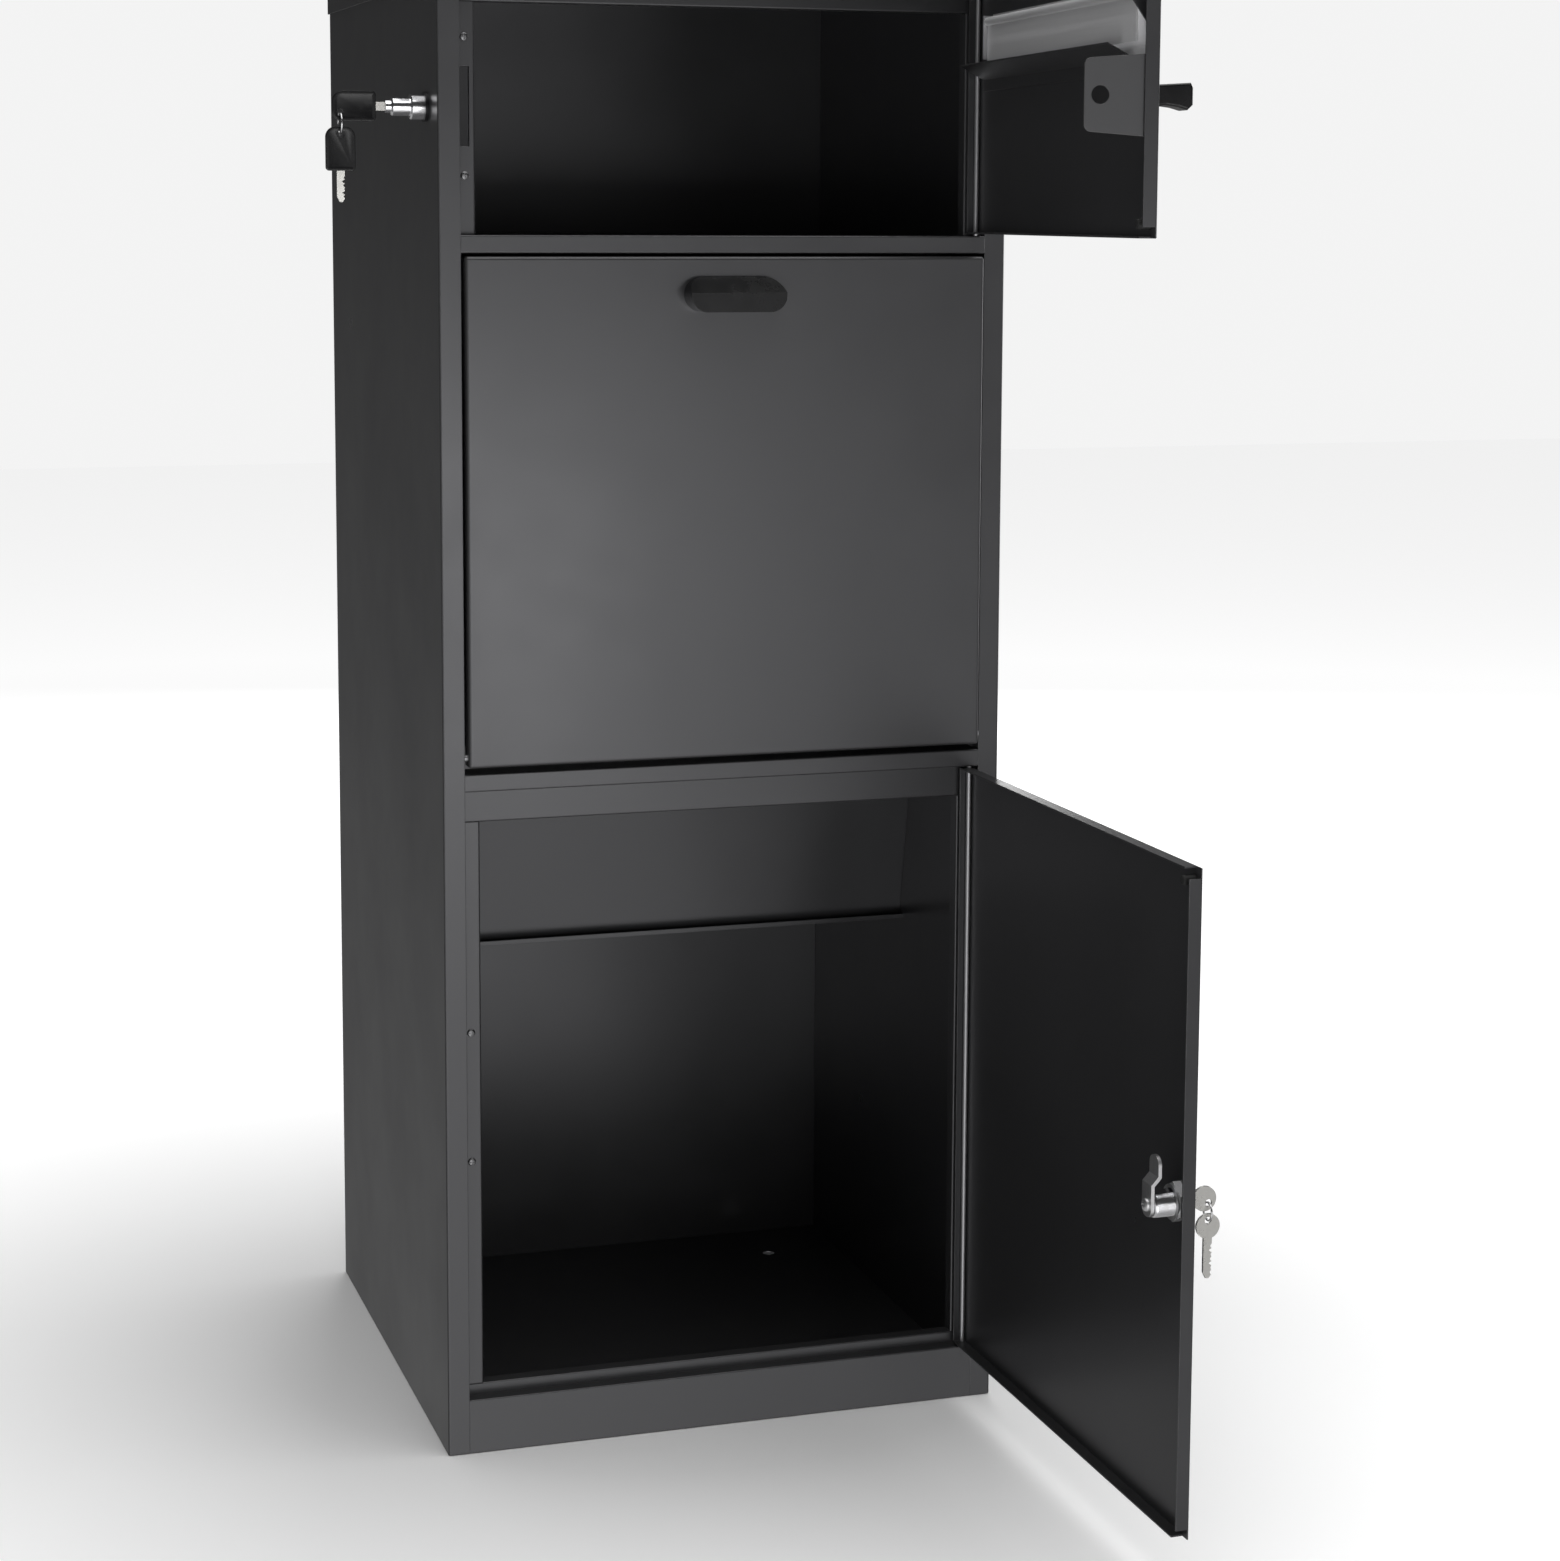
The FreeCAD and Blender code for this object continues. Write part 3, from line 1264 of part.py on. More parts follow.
def make_side_keys(nose, plug_back):
    bow_near = nose - size.side_key_shank
    bow_far = bow_near - size.cover_bow_length
    half_bow = size.cover_bow_width / 2
    half_blade = size.key_blade_width / 2
    half_thick = size.key_thickness / 2
    hole_x = bow_far + size.key_hole_inset
    hole_z = mail_lock_height - size.key_hole_inset + 1
    bow, span, hole = moulded_bow(
        "side_bow",
        (bow_far, bow_near),
        (mail_lock_height - half_bow, mail_lock_height + half_bow),
        (hole_x, hole_z),
    )
    round_edges(bow, 8, lambda middle, along: abs(along.y) > 0.9 and near(middle.x, bow_far))
    round_edges(bow, 2, lambda middle, along: abs(along.y) > 0.9 and near(middle.x, bow_near))
    pocket(bow, "XZ", span, circle=(hole, size.key_hole_diameter))
    seat = block(
        "side_bow_seat",
        (bow_near - 8, bow_near + 1),
        (mail_lock_y - half_thick, mail_lock_y + half_thick),
        (mail_lock_height - half_blade, mail_lock_height + half_blade),
    )
    keep(cut("side_bow_cut", bow, seat), "side_key_bow")
    blade = block(
        "side_blade",
        (bow_near - 8, plug_back - 2),
        (mail_lock_y - half_thick, mail_lock_y + half_thick),
        (mail_lock_height - half_blade, mail_lock_height + half_blade),
    )
    keep(blade, "side_key_blade")
    ring_radius = size.side_ring_diameter / 2
    ring = key_ring("side_ring", (hole_x, mail_lock_y, hole_z - ring_radius), size.side_ring_diameter, "x")
    keep(ring, "side_key_ring")
    spare_hole_z = hole_z - size.side_ring_diameter
    bow_high = spare_hole_z + size.key_hole_inset
    bow_low = bow_high - size.cover_bow_length
    spare, span, hole = moulded_bow(
        "side_spare",
        (hole_x - half_bow, hole_x + half_bow),
        (bow_low, bow_high),
        (hole_x, spare_hole_z),
    )
    round_edges(spare, 8, lambda middle, along: abs(along.y) > 0.9 and near(middle.z, bow_high))
    round_edges(spare, 2, lambda middle, along: abs(along.y) > 0.9 and near(middle.z, bow_low))
    pocket(spare, "XZ", span, circle=(hole, size.key_hole_diameter))
    seat = block(
        "side_spare_seat",
        (hole_x - half_blade, hole_x + half_blade),
        (mail_lock_y - half_thick, mail_lock_y + half_thick),
        (bow_low - 1, bow_low + 8),
    )
    keep(cut("side_spare_cut", spare, seat), "side_spare_bow")
    tip = bow_low - size.spare_blade_length
    blade = prism(
        "side_spare_blade_sheet",
        "XZ",
        (mail_lock_y - half_thick, mail_lock_y + half_thick),
        [
            (hole_x - half_blade, bow_low + 8),
            (hole_x - half_blade, tip + 7),
            (hole_x - 1, tip),
            (hole_x + 1, tip),
            (hole_x + half_blade, tip + 5),
            (hole_x + half_blade, bow_low + 8),
        ],
    )
    keep(blade, "side_spare_blade")


def key_ring(name, centre, diameter, axis):
    """A wire ring whose plane is square to the given axis."""
    ring = doc.addObject("Part::Torus", name)
    ring.Placement = Placement(Vector(), AXIS_TURNS[axis])
    bind(ring, Radius1=to_size(diameter) / 2, Radius2=size.ring_wire / 2)
    for letter, place in zip("xyz", centre):
        ring.setExpression(f"Placement.Base.{letter}", to_size(place).formula)
    return ring


# The cam lock of the parcel door.


def make_cam_lock():
    lock_x = free_edge + size.cam_lock_inset
    lock_z = size.cam_lock_height
    centre = (lock_x, lock_z)
    face = skin_out - size.cam_lock_flange
    body_end = skin_out + size.cam_lock_length
    bore = size.cam_plug_diameter / 2 + size.running_clearance
    body = turned(
        "cam_body",
        "y",
        centre,
        [
            (face, bore),
            (body_end, bore),
            (body_end, size.cam_lock_diameter / 2),
            (skin_out, size.cam_lock_diameter / 2),
            (skin_out, size.cam_lock_flange_diameter / 2),
            (face + 0.8, size.cam_lock_flange_diameter / 2),
            (face, size.cam_lock_flange_diameter / 2 - 0.8),
        ],
    )
    keep(body, "cam_lock_body", PARCEL_DOOR)
    nut_back = skin_in + size.nut_thickness
    washer_back = nut_back + size.cam_washer_thickness
    nut = new_body("cam_nut")
    pad(nut, "XZ", (skin_in, nut_back), points=hexagon(centre, size.nut_width))
    pocket(nut, "XZ", (skin_in, nut_back), circle=(centre, size.cam_lock_diameter))
    keep(nut, "cam_lock_nut", PARCEL_DOOR)
    washer = new_body("cam_washer")
    pad(washer, "XZ", (nut_back, washer_back), circle=(centre, size.nut_width))
    pocket(washer, "XZ", (nut_back, washer_back), circle=(centre, size.cam_lock_diameter))
    keep(washer, "cam_lock_washer", PARCEL_DOOR)
    make_cam_and_plug(lock_x, lock_z, face, body_end)
    make_door_keys(lock_x, lock_z, face)


def make_cam_and_plug(lock_x, lock_z, face, body_end):
    centre = (lock_x, lock_z)
    cam_front = body_end + 0.3
    cam_back = cam_front + size.cam_thickness
    screw = size.cam_screw_diameter / 2
    screw_tip = body_end - 8
    plug = turned(
        "cam_plug",
        "y",
        centre,
        [
            (face - 0.6, Size(0)),
            (screw_tip, Size(0)),
            (screw_tip, screw),
            (cam_back, screw),
            (cam_back, size.cam_tail_diameter / 2),
            (cam_front, size.cam_tail_diameter / 2),
            (cam_front, size.cam_plug_diameter / 2),
            (face - 0.6, size.cam_plug_diameter / 2),
        ],
    )
    half_thick = size.key_thickness / 2 + size.key_gap
    half_blade = size.key_blade_width / 2 + size.key_gap
    slit = block(
        "cam_plug_slit",
        (lock_x - half_thick, lock_x + half_thick),
        (face - 2, screw_tip - 2),
        (lock_z - half_blade, lock_z + half_blade),
    )
    keep(cut("cam_plug_cut", plug, slit), "cam_lock_plug", PARCEL_DOOR)
    half = size.cam_width / 2
    tip_back = cam_back - size.cam_crank
    tip_front = cam_front - size.cam_crank
    cam = prism(
        "cam_plate",
        "YZ",
        (lock_x - half, lock_x + half),
        [
            (cam_front, lock_z - 8),
            (cam_back, lock_z - 8),
            (cam_back, lock_z + 14.5),
            (tip_back, lock_z + 20),
            (tip_back, lock_z + size.cam_length),
            (tip_front, lock_z + size.cam_length),
            (tip_front, lock_z + 19),
            (cam_front, lock_z + 13.5),
        ],
    )
    tip_z = lock_z + size.cam_length
    low_z = lock_z - 8
    round_edges(
        cam, 6, lambda middle, along: abs(along.y) > 0.9 and (near(middle.z, tip_z) or near(middle.z, low_z))
    )
    hole = rod("cam_hole", "y", centre, (cam_front - 1, cam_back + 1), size.cam_tail_diameter)
    keep(cut("cam_drilled", cam, hole), "lock_cam", PARCEL_DOOR)
    head = size.cam_screw_head_diameter / 2
    profile = [
        (screw_tip, Size(0)),
        (cam_back + 3, Size(0)),
        (cam_back + 3, head - 1.5),
        (cam_back + 1.6, head),
        (cam_back, head),
        (cam_back, screw),
        (screw_tip, screw),
    ]
    keep(turned("cam_screw_turned", "y", centre, profile), "cam_screw", PARCEL_DOOR)


def flat_key(name, span, bow_centre, blade_points, hole):
    """A flat steel key in a plane square to X: a round bow, a blade and a hole for the ring."""
    bow = rod(f"{name}_round", "x", bow_centre, span, size.door_bow_diameter)
    blade = prism(f"{name}_blade", "YZ", span, blade_points)
    key = join(f"{name}_whole", bow, blade)
    through = (span[0] - 1, span[1] + 1)
    return cut(f"{name}_holed", key, rod(f"{name}_hole", "x", hole, through, size.key_hole_diameter))


def make_door_keys(lock_x, lock_z, face):
    half_blade = size.key_blade_width / 2
    half_thick = size.key_thickness / 2
    span = (lock_x - half_thick, lock_x + half_thick)
    radius = size.door_bow_diameter / 2
    bow_y = face - 0.6 - size.door_key_shank - radius
    hole_y = bow_y - 3
    hole_z = lock_z - 3
    blade = rectangle(bow_y, face + 13, lock_z - half_blade, lock_z + half_blade)
    keep(flat_key("door_key", span, (bow_y, lock_z), blade, (hole_y, hole_z)), "door_key", PARCEL_DOOR)
    ring_z = hole_z - size.door_ring_diameter / 2
    ring = key_ring("door_ring", (lock_x, hole_y, ring_z), size.door_ring_diameter, "y")
    keep(ring, "door_key_ring", PARCEL_DOOR)
    spare_hole = hole_z - size.door_ring_diameter
    bow_z = spare_hole - radius + 4.5
    tip = bow_z - radius - size.door_spare_blade
    blade = [
        (hole_y - half_blade, bow_z),
        (hole_y - half_blade, tip + 4),
        (hole_y - 1, tip),
        (hole_y + 1, tip),
        (hole_y + half_blade, tip + 5),
        (hole_y + half_blade, bow_z),
    ]
    spare = flat_key("door_spare", span, (hole_y, bow_z), blade, (hole_y, spare_hole))
    keep(spare, "door_spare_key", PARCEL_DOOR)


def check_document():
    """Stops if a feature failed or a piece has no sound shape."""
    doc.recompute()
    for thing in doc.Objects:
        if "Invalid" in thing.State or "Error" in thing.State:
            raise RuntimeError(f"{thing.Name} failed: {thing.State}")
    for node in NODES:
        if node.Shape.isNull() or not node.Shape.isValid():
            raise RuntimeError(f"{node.Label} has no sound shape")


def export_nodes():
    """Writes one STEP file for each piece, named by its label."""
    os.makedirs("parts", exist_ok=True)
    for node in NODES:
        node.Shape.exportStep(f"parts/{node.Label}.step")
    print(f"{len(NODES)} pieces written")


make_sides()
make_floor_and_back()
make_cover()
make_rails()
make_headers()
make_jambs()
make_plates_behind_jambs()
make_plinth_and_sill()
make_drop_baffle()
make_hinge_rods()
make_parcel_door()
make_mail_door()
make_door_grip()
make_slot()
make_mail_baffle()
keep(group("slot_screw_set", SLOT_SCREWS), "slot_screws", MAIL_DOOR)
make_flap_panel()
cheek("flap_cheek_left", -1)
cheek("flap_cheek_right", 1)
make_cup_pull()
make_side_lock()
make_cam_lock()
check_document()
export_nodes()
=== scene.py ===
"""Looks of a free-standing parcel locker: its finishes, its small turned and cut parts, and a studio.

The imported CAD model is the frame. Every length is in metres, in the frame's own axes: +Z up, the
front faces -Y, and the origin lies on the ground under the middle of the cabinet.
"""

from __future__ import annotations

import json
import logging
import math
from dataclasses import dataclass, field
from enum import Enum
from typing import Callable, Iterable

import bmesh
import bpy
from mathutils import Matrix, Vector

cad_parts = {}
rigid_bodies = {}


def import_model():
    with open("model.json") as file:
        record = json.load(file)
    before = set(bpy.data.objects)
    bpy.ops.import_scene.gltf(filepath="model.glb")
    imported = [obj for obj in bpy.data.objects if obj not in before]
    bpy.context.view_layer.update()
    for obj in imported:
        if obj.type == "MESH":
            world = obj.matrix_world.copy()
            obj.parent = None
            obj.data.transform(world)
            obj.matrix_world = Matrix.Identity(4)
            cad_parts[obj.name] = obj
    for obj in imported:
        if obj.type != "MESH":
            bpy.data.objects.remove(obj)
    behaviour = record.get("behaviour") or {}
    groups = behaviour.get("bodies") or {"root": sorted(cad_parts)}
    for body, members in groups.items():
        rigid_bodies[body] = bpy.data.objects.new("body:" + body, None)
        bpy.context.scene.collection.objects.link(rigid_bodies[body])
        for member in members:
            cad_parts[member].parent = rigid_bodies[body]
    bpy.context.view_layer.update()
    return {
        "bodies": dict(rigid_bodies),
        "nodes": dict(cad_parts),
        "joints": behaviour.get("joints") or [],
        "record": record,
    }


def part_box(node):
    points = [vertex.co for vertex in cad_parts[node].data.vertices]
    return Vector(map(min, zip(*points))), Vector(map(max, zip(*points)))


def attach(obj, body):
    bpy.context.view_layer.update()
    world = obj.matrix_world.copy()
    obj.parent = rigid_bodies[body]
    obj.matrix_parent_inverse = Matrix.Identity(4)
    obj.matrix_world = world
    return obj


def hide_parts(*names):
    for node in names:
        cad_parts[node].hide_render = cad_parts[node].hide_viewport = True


log = logging.getLogger("parcel_locker")

Colour = tuple[float, float, float]
MM = 0.001


# Shader node groups shared by the finishes.


class Effect(Enum):
    """The shared effects, by the name of their node group."""

    PEEL = "powder_peel"
    EDGES = "edge_round_and_highlight"
    DRAWN = "drawn_grain"
    DUST = "settled_dust"


class NodeDesk:
    """Adds and joins nodes in one tree."""

    def __init__(self, tree: bpy.types.NodeTree) -> None:
        """Args:
            tree: the node tree to work on.
        """
        self.tree = tree

    def add(
        self, kind: str, inputs: dict[str | int, object] | None = None, **settings: object
    ) -> bpy.types.Node:
        """Adds a node.

        Args:
            kind: the node's type, such as ShaderNodeTexNoise.
            inputs: values or sockets for the node's inputs, by name or number.
            settings: the node's own options.

        Returns:
            The new node.
        """
        node = self.tree.nodes.new(kind)
        for name, value in settings.items():
            setattr(node, name, value)
        for name, value in (inputs or {}).items():
            self.feed(node.inputs[name], value)
        return node

    def feed(self, socket: bpy.types.NodeSocket, value: object) -> None:
        """Links a socket to an input, or sets the input's own value.

        Args:
            socket: the input.
            value: an output socket, or a plain value.
        """
        if isinstance(value, bpy.types.NodeSocket):
            self.tree.links.new(value, socket)
        else:
            socket.default_value = value

    def math(
        self, operation: str, first: object, second: object = 0.0, clamp: bool = False
    ) -> bpy.types.NodeSocket:
        """Adds a Math node.

        Args:
            operation: the node's operation.
            first: its first input.
            second: its second input.
            clamp: whether the result is held between 0 and 1.

        Returns:
            The node's output socket.
        """
        node = self.add("ShaderNodeMath", {0: first, 1: second}, operation=operation, use_clamp=clamp)
        return node.outputs[0]

    def spread(
        self, value: object, low: float, high: float, to_low: float, to_high: float
    ) -> bpy.types.NodeSocket:
        """Maps a value from one range to another and holds it there.

        Args:
            value: the input.
            low: the input's low end.
            high: the input's high end.
            to_low: the result at the low end.
            to_high: the result at the high end.

        Returns:
            The node's output socket.
        """
        node = self.add(
            "ShaderNodeMapRange",
            {"Value": value, "From Min": low, "From Max": high, "To Min": to_low, "To Max": to_high},
        )
        return node.outputs["Result"]

    def mix(self, factor: object, first: object, second: object) -> bpy.types.NodeSocket:
        """Mixes two colours.

        Args:
            factor: how much of the second colour shows.
            first: the first colour.
            second: the second colour.

        Returns:
            The mixed colour's socket.
        """
        node = self.add("ShaderNodeMix", data_type="RGBA")
        self.feed(node.inputs[0], factor)
        self.feed(node.inputs[6], first)
        self.feed(node.inputs[7], second)
        return node.outputs[2]

    def noise(
        self, place: object, scale: object, detail: float = 3.0, rough: float = 0.55
    ) -> bpy.types.NodeSocket:
        """Adds a noise texture.

        Args:
            place: the coordinates' socket.
            scale: the noise's scale.
            detail: how many octaves it has.
            rough: how strong the finer octaves are.

        Returns:
            The noise's value socket.
        """
        inputs = {"Vector": place, "Scale": scale, "Detail": detail, "Roughness": rough}
        return self.add("ShaderNodeTexNoise", inputs).outputs["Fac"]

    def object_place(self) -> bpy.types.NodeSocket:
        """Gives the socket of Object coordinates."""
        return self.add("ShaderNodeTexCoord").outputs["Object"]


class EffectShelf:
    """Builds each shared node group once."""

    def __init__(self) -> None:
        """Builds all the groups."""
        self.groups = {
            Effect.PEEL: self.powder_peel(),
            Effect.EDGES: self.edge_round_and_highlight(),
            Effect.DRAWN: self.drawn_grain(),
            Effect.DUST: self.settled_dust(),
        }

    @staticmethod
    def blank(
        effect: Effect, inputs: dict[str, float], outputs: dict[str, str]
    ) -> tuple[bpy.types.NodeTree, NodeDesk, dict[str, bpy.types.NodeSocket], bpy.types.Node]:
        """Starts a group.

        Args:
            effect: which effect the group is for.
            inputs: the inputs' names and default values.
            outputs: the outputs' names and socket types.

        Returns:
            The tree, its desk, the input sockets by name, and the group's output node.
        """
        tree = bpy.data.node_groups.new(effect.value, "ShaderNodeTree")
        for name, value in inputs.items():
            socket = tree.interface.new_socket(name, in_out="INPUT", socket_type="NodeSocketFloat")
            socket.default_value = value
        for name, kind in outputs.items():
            tree.interface.new_socket(name, in_out="OUTPUT", socket_type=kind)
        desk = NodeDesk(tree)
        given = desk.add("NodeGroupInput")
        result = desk.add("NodeGroupOutput")
        return tree, desk, {name: given.outputs[name] for name in inputs}, result

    def powder_peel(self) -> bpy.types.NodeTree:
        """Fine orange peel of a powder coat, with a slow change in gloss.

        Returns:
            The node group.
        """
        tree, desk, given, result = self.blank(
            Effect.PEEL,
            {"Scale": 900.0, "Patch Scale": 7.0},
            {"Height": "NodeSocketFloat", "Patches": "NodeSocketFloat"},
        )
        place = desk.object_place()
        fine = desk.noise(place, given["Scale"], 2.0, 0.5)
        coarse = desk.noise(place, desk.math("MULTIPLY", given["Scale"], 0.32), 1.0, 0.4)
        height = desk.math("ADD", desk.math("MULTIPLY", fine, 0.55), desk.math("MULTIPLY", coarse, 0.45))
        patches = desk.noise(place, given["Patch Scale"], 4.0, 0.6)
        desk.feed(result.inputs["Height"], height)
        desk.feed(result.inputs["Patches"], patches)
        return tree

    def edge_round_and_highlight(self) -> bpy.types.NodeTree:
        """A rounded normal at the edges, and a broken mask along them for a painted highlight.

        Returns:
            The node group.
        """
        tree, desk, given, result = self.blank(
            Effect.EDGES,
            {"Radius": 0.0006, "Break Up": 60.0},
            {"Mask": "NodeSocketFloat", "Normal": "NodeSocketVector"},
        )
        rounded = desk.add("ShaderNodeBevel", {"Radius": given["Radius"]}, samples=4)
        plain = desk.add("ShaderNodeNewGeometry").outputs["Normal"]
        facing = desk.add("ShaderNodeVectorMath", {0: rounded.outputs[0], 1: plain}, operation="DOT_PRODUCT")
        edge = desk.spread(facing.outputs["Value"], 1.0, 0.86, 0.0, 1.0)
        patches = desk.noise(desk.object_place(), given["Break Up"], 5.0, 0.65)
        broken = desk.spread(patches, 0.42, 0.62, 0.0, 1.0)
        # The mask marks where the powder coat gets its painted edge highlight.
        desk.feed(result.inputs["Mask"], desk.math("MULTIPLY", edge, broken, clamp=True))
        desk.feed(result.inputs["Normal"], rounded.outputs[0])
        return tree

    def drawn_grain(self) -> bpy.types.NodeTree:
        """Long fine lines along one axis, as on rolled or drawn metal.

        Returns:
            The node group.
        """
        tree, desk, given, result = self.blank(
            Effect.DRAWN,
            {"Across": 1400.0, "Along": 12.0},
            {"Height": "NodeSocketFloat", "Streaks": "NodeSocketFloat"},
        )
        parts = desk.add("ShaderNodeSeparateXYZ", {0: desk.object_place()})
        stretched = desk.add(
            "ShaderNodeCombineXYZ",
            {
                0: desk.math("MULTIPLY", parts.outputs[0], given["Along"]),
                1: desk.math("MULTIPLY", parts.outputs[1], given["Along"]),
                2: desk.math("MULTIPLY", parts.outputs[2], given["Across"]),
            },
        )
        lines = desk.noise(stretched.outputs[0], 1.0, 4.0, 0.6)
        broad = desk.noise(stretched.outputs[0], 0.12, 2.0, 0.5)
        desk.feed(result.inputs["Height"], lines)
        streaks = desk.math("ADD", desk.math("MULTIPLY", lines, 0.5), desk.math("MULTIPLY", broad, 0.5))
        desk.feed(result.inputs["Streaks"], streaks)
        return tree

    def settled_dust(self) -> bpy.types.NodeTree:
        """A thin film of dust on what faces up, with a few specks everywhere.

        Returns:
            The node group.
        """
        tree, desk, given, result = self.blank(
            Effect.DUST,
            {"Film": 0.4, "Specks": 0.3},
            {"Mask": "NodeSocketFloat"},
        )
        place = desk.object_place()
        normal = desk.add("ShaderNodeSeparateXYZ", {0: desk.add("ShaderNodeNewGeometry").outputs["Normal"]})
        upward = desk.spread(normal.outputs[2], 0.35, 1.0, 0.0, 1.0)
        cloud = desk.spread(desk.noise(place, 22.0, 6.0, 0.7), 0.4, 0.72, 0.2, 1.0)
        film = desk.math("MULTIPLY", desk.math("MULTIPLY", upward, cloud), given["Film"])
        specks = desk.spread(desk.noise(place, 620.0, 2.0, 0.6), 0.72, 0.78, 0.0, 1.0)
        dotted = desk.math("MULTIPLY", specks, given["Specks"])
        desk.feed(result.inputs["Mask"], desk.math("ADD", film, dotted, clamp=True))
        return tree


class Paint(NodeDesk):
    """A material with one Principled shader."""

    def __init__(self, name: str, shelf: EffectShelf) -> None:
        """Args:
            name: the material's name.
            shelf: the shared effects.
        """
        self.material = bpy.data.materials.new(name)
        self.material.use_nodes = True
        super().__init__(self.material.node_tree)
        self.tree.nodes.clear()
        self.shelf = shelf
        self.shader = self.add("ShaderNodeBsdfPrincipled")
        self.add("ShaderNodeOutputMaterial", {"Surface": self.shader.outputs[0]})

    def effect(self, effect: Effect, **values: float) -> bpy.types.Node:
        """Adds a shared effect.

        Args:
            effect: which one.
            values: its inputs by name, with underscores for spaces.

        Returns:
            The group node.
        """
        node = self.add("ShaderNodeGroup", node_tree=self.shelf.groups[effect])
        for name, value in values.items():
            node.inputs[name.replace("_", " ")].default_value = value
        return node

    def relief(
        self, height: bpy.types.NodeSocket, normal: bpy.types.NodeSocket, strength: float, depth: float
    ) -> None:
        """Raises the surface by a height.

        Args:
            height: the height's socket.
            normal: the normal that the relief starts from.
            strength: how strong the relief is.
            depth: its depth in metres.
        """
        inputs = {"Height": height, "Normal": normal, "Strength": strength, "Distance": depth}
        self.feed(self.shader.inputs["Normal"], self.add("ShaderNodeBump", inputs).outputs[0])

    def plain(self, **values: float) -> None:
        """Sets uniform values on the shader's own sockets, with underscores for spaces."""
        for name, value in values.items():
            self.shader.inputs[name.replace("_", " ")].default_value = value


def opaque(colour: Colour) -> tuple[float, float, float, float]:
    """A colour with full alpha."""
    return (*colour, 1.0)


@dataclass(frozen=True)
class PowderCoat:
    """Satin powder coat on folded sheet steel, with a painted highlight along its edges."""

    base: Colour = (0.064, 0.064, 0.067)
    # Lighter grey of the painted highlight along the edges.
    painted_edge_highlight: Colour = (0.20, 0.20, 0.205)
    dust: Colour = (0.23, 0.225, 0.215)
    roughness: float = 0.31
    flake: float = 0.65
    edge_radius: float = 0.7 * MM
    peel_strength: float = 0.22
    dust_film: float = 0.10

    def make(self, name: str, shelf: EffectShelf) -> bpy.types.Material:
        """Builds the material.

        Args:
            name: its name.
            shelf: the shared effects.

        Returns:
            The material.
        """
        paint = Paint(name, shelf)
        peel = paint.effect(Effect.PEEL, Scale=1100.0, Patch_Scale=6.0)
        edges = paint.effect(Effect.EDGES, Radius=self.edge_radius, Break_Up=45.0)
        dust = paint.effect(Effect.DUST, Film=self.dust_film, Specks=0.10)
        patch = peel.outputs["Patches"]
        darker = tuple(0.86 * part for part in self.base)
        lighter = tuple(1.14 * part for part in self.base)
        mottled = paint.mix(patch, opaque(darker), opaque(lighter))
        # Painted highlight: the edges are lightened towards a lighter grey, broken up by noise.
        edged = paint.mix(paint.math("MULTIPLY", edges.outputs["Mask"], 0.55), mottled, opaque(self.painted_edge_highlight))
        dusty = paint.mix(dust.outputs["Mask"], edged, opaque(self.dust))
        paint.feed(paint.shader.inputs["Base Color"], dusty)
        gloss = paint.spread(patch, 0.0, 1.0, self.roughness - 0.1, self.roughness + 0.12)
        rough = paint.math("ADD", gloss, paint.math("MULTIPLY", dust.outputs["Mask"], 0.35), clamp=True)
        paint.feed(paint.shader.inputs["Roughness"], rough)
        paint.plain(IOR=1.5, Metallic=self.flake)
        paint.relief(peel.outputs["Height"], edges.outputs["Normal"], self.peel_strength, 0.06 * MM)
        return paint.material


@dataclass(frozen=True)
class PlatedMetal:
    """Polished or satin plating on small turned and pressed parts."""

    base: Colour = (0.80, 0.80, 0.82)
    tarnish: Colour = (0.42, 0.41, 0.40)
    roughness: float = 0.12
    edge_radius: float = 0.25 * MM
    grain: float = 0.08

    def make(self, name: str, shelf: EffectShelf) -> bpy.types.Material:
        """Builds the material.

        Args:
            name: its name.
            shelf: the shared effects.

        Returns:
            The material.
        """
        paint = Paint(name, shelf)
        peel = paint.effect(Effect.PEEL, Scale=2400.0, Patch_Scale=90.0)
        edges = paint.effect(Effect.EDGES, Radius=self.edge_radius, Break_Up=220.0)
        patch = paint.spread(peel.outputs["Patches"], 0.45, 0.75, 0.0, 0.5)
        colour = paint.mix(patch, opaque(self.base), opaque(self.tarnish))
        paint.feed(paint.shader.inputs["Base Color"], colour)
        rough = paint.spread(peel.outputs["Patches"], 0.3, 0.7, self.roughness, self.roughness + 0.12)
        paint.feed(paint.shader.inputs["Roughness"], rough)
        paint.plain(Metallic=1.0)
        paint.relief(peel.outputs["Height"], edges.outputs["Normal"], self.grain, 0.02 * MM)
        return paint.material


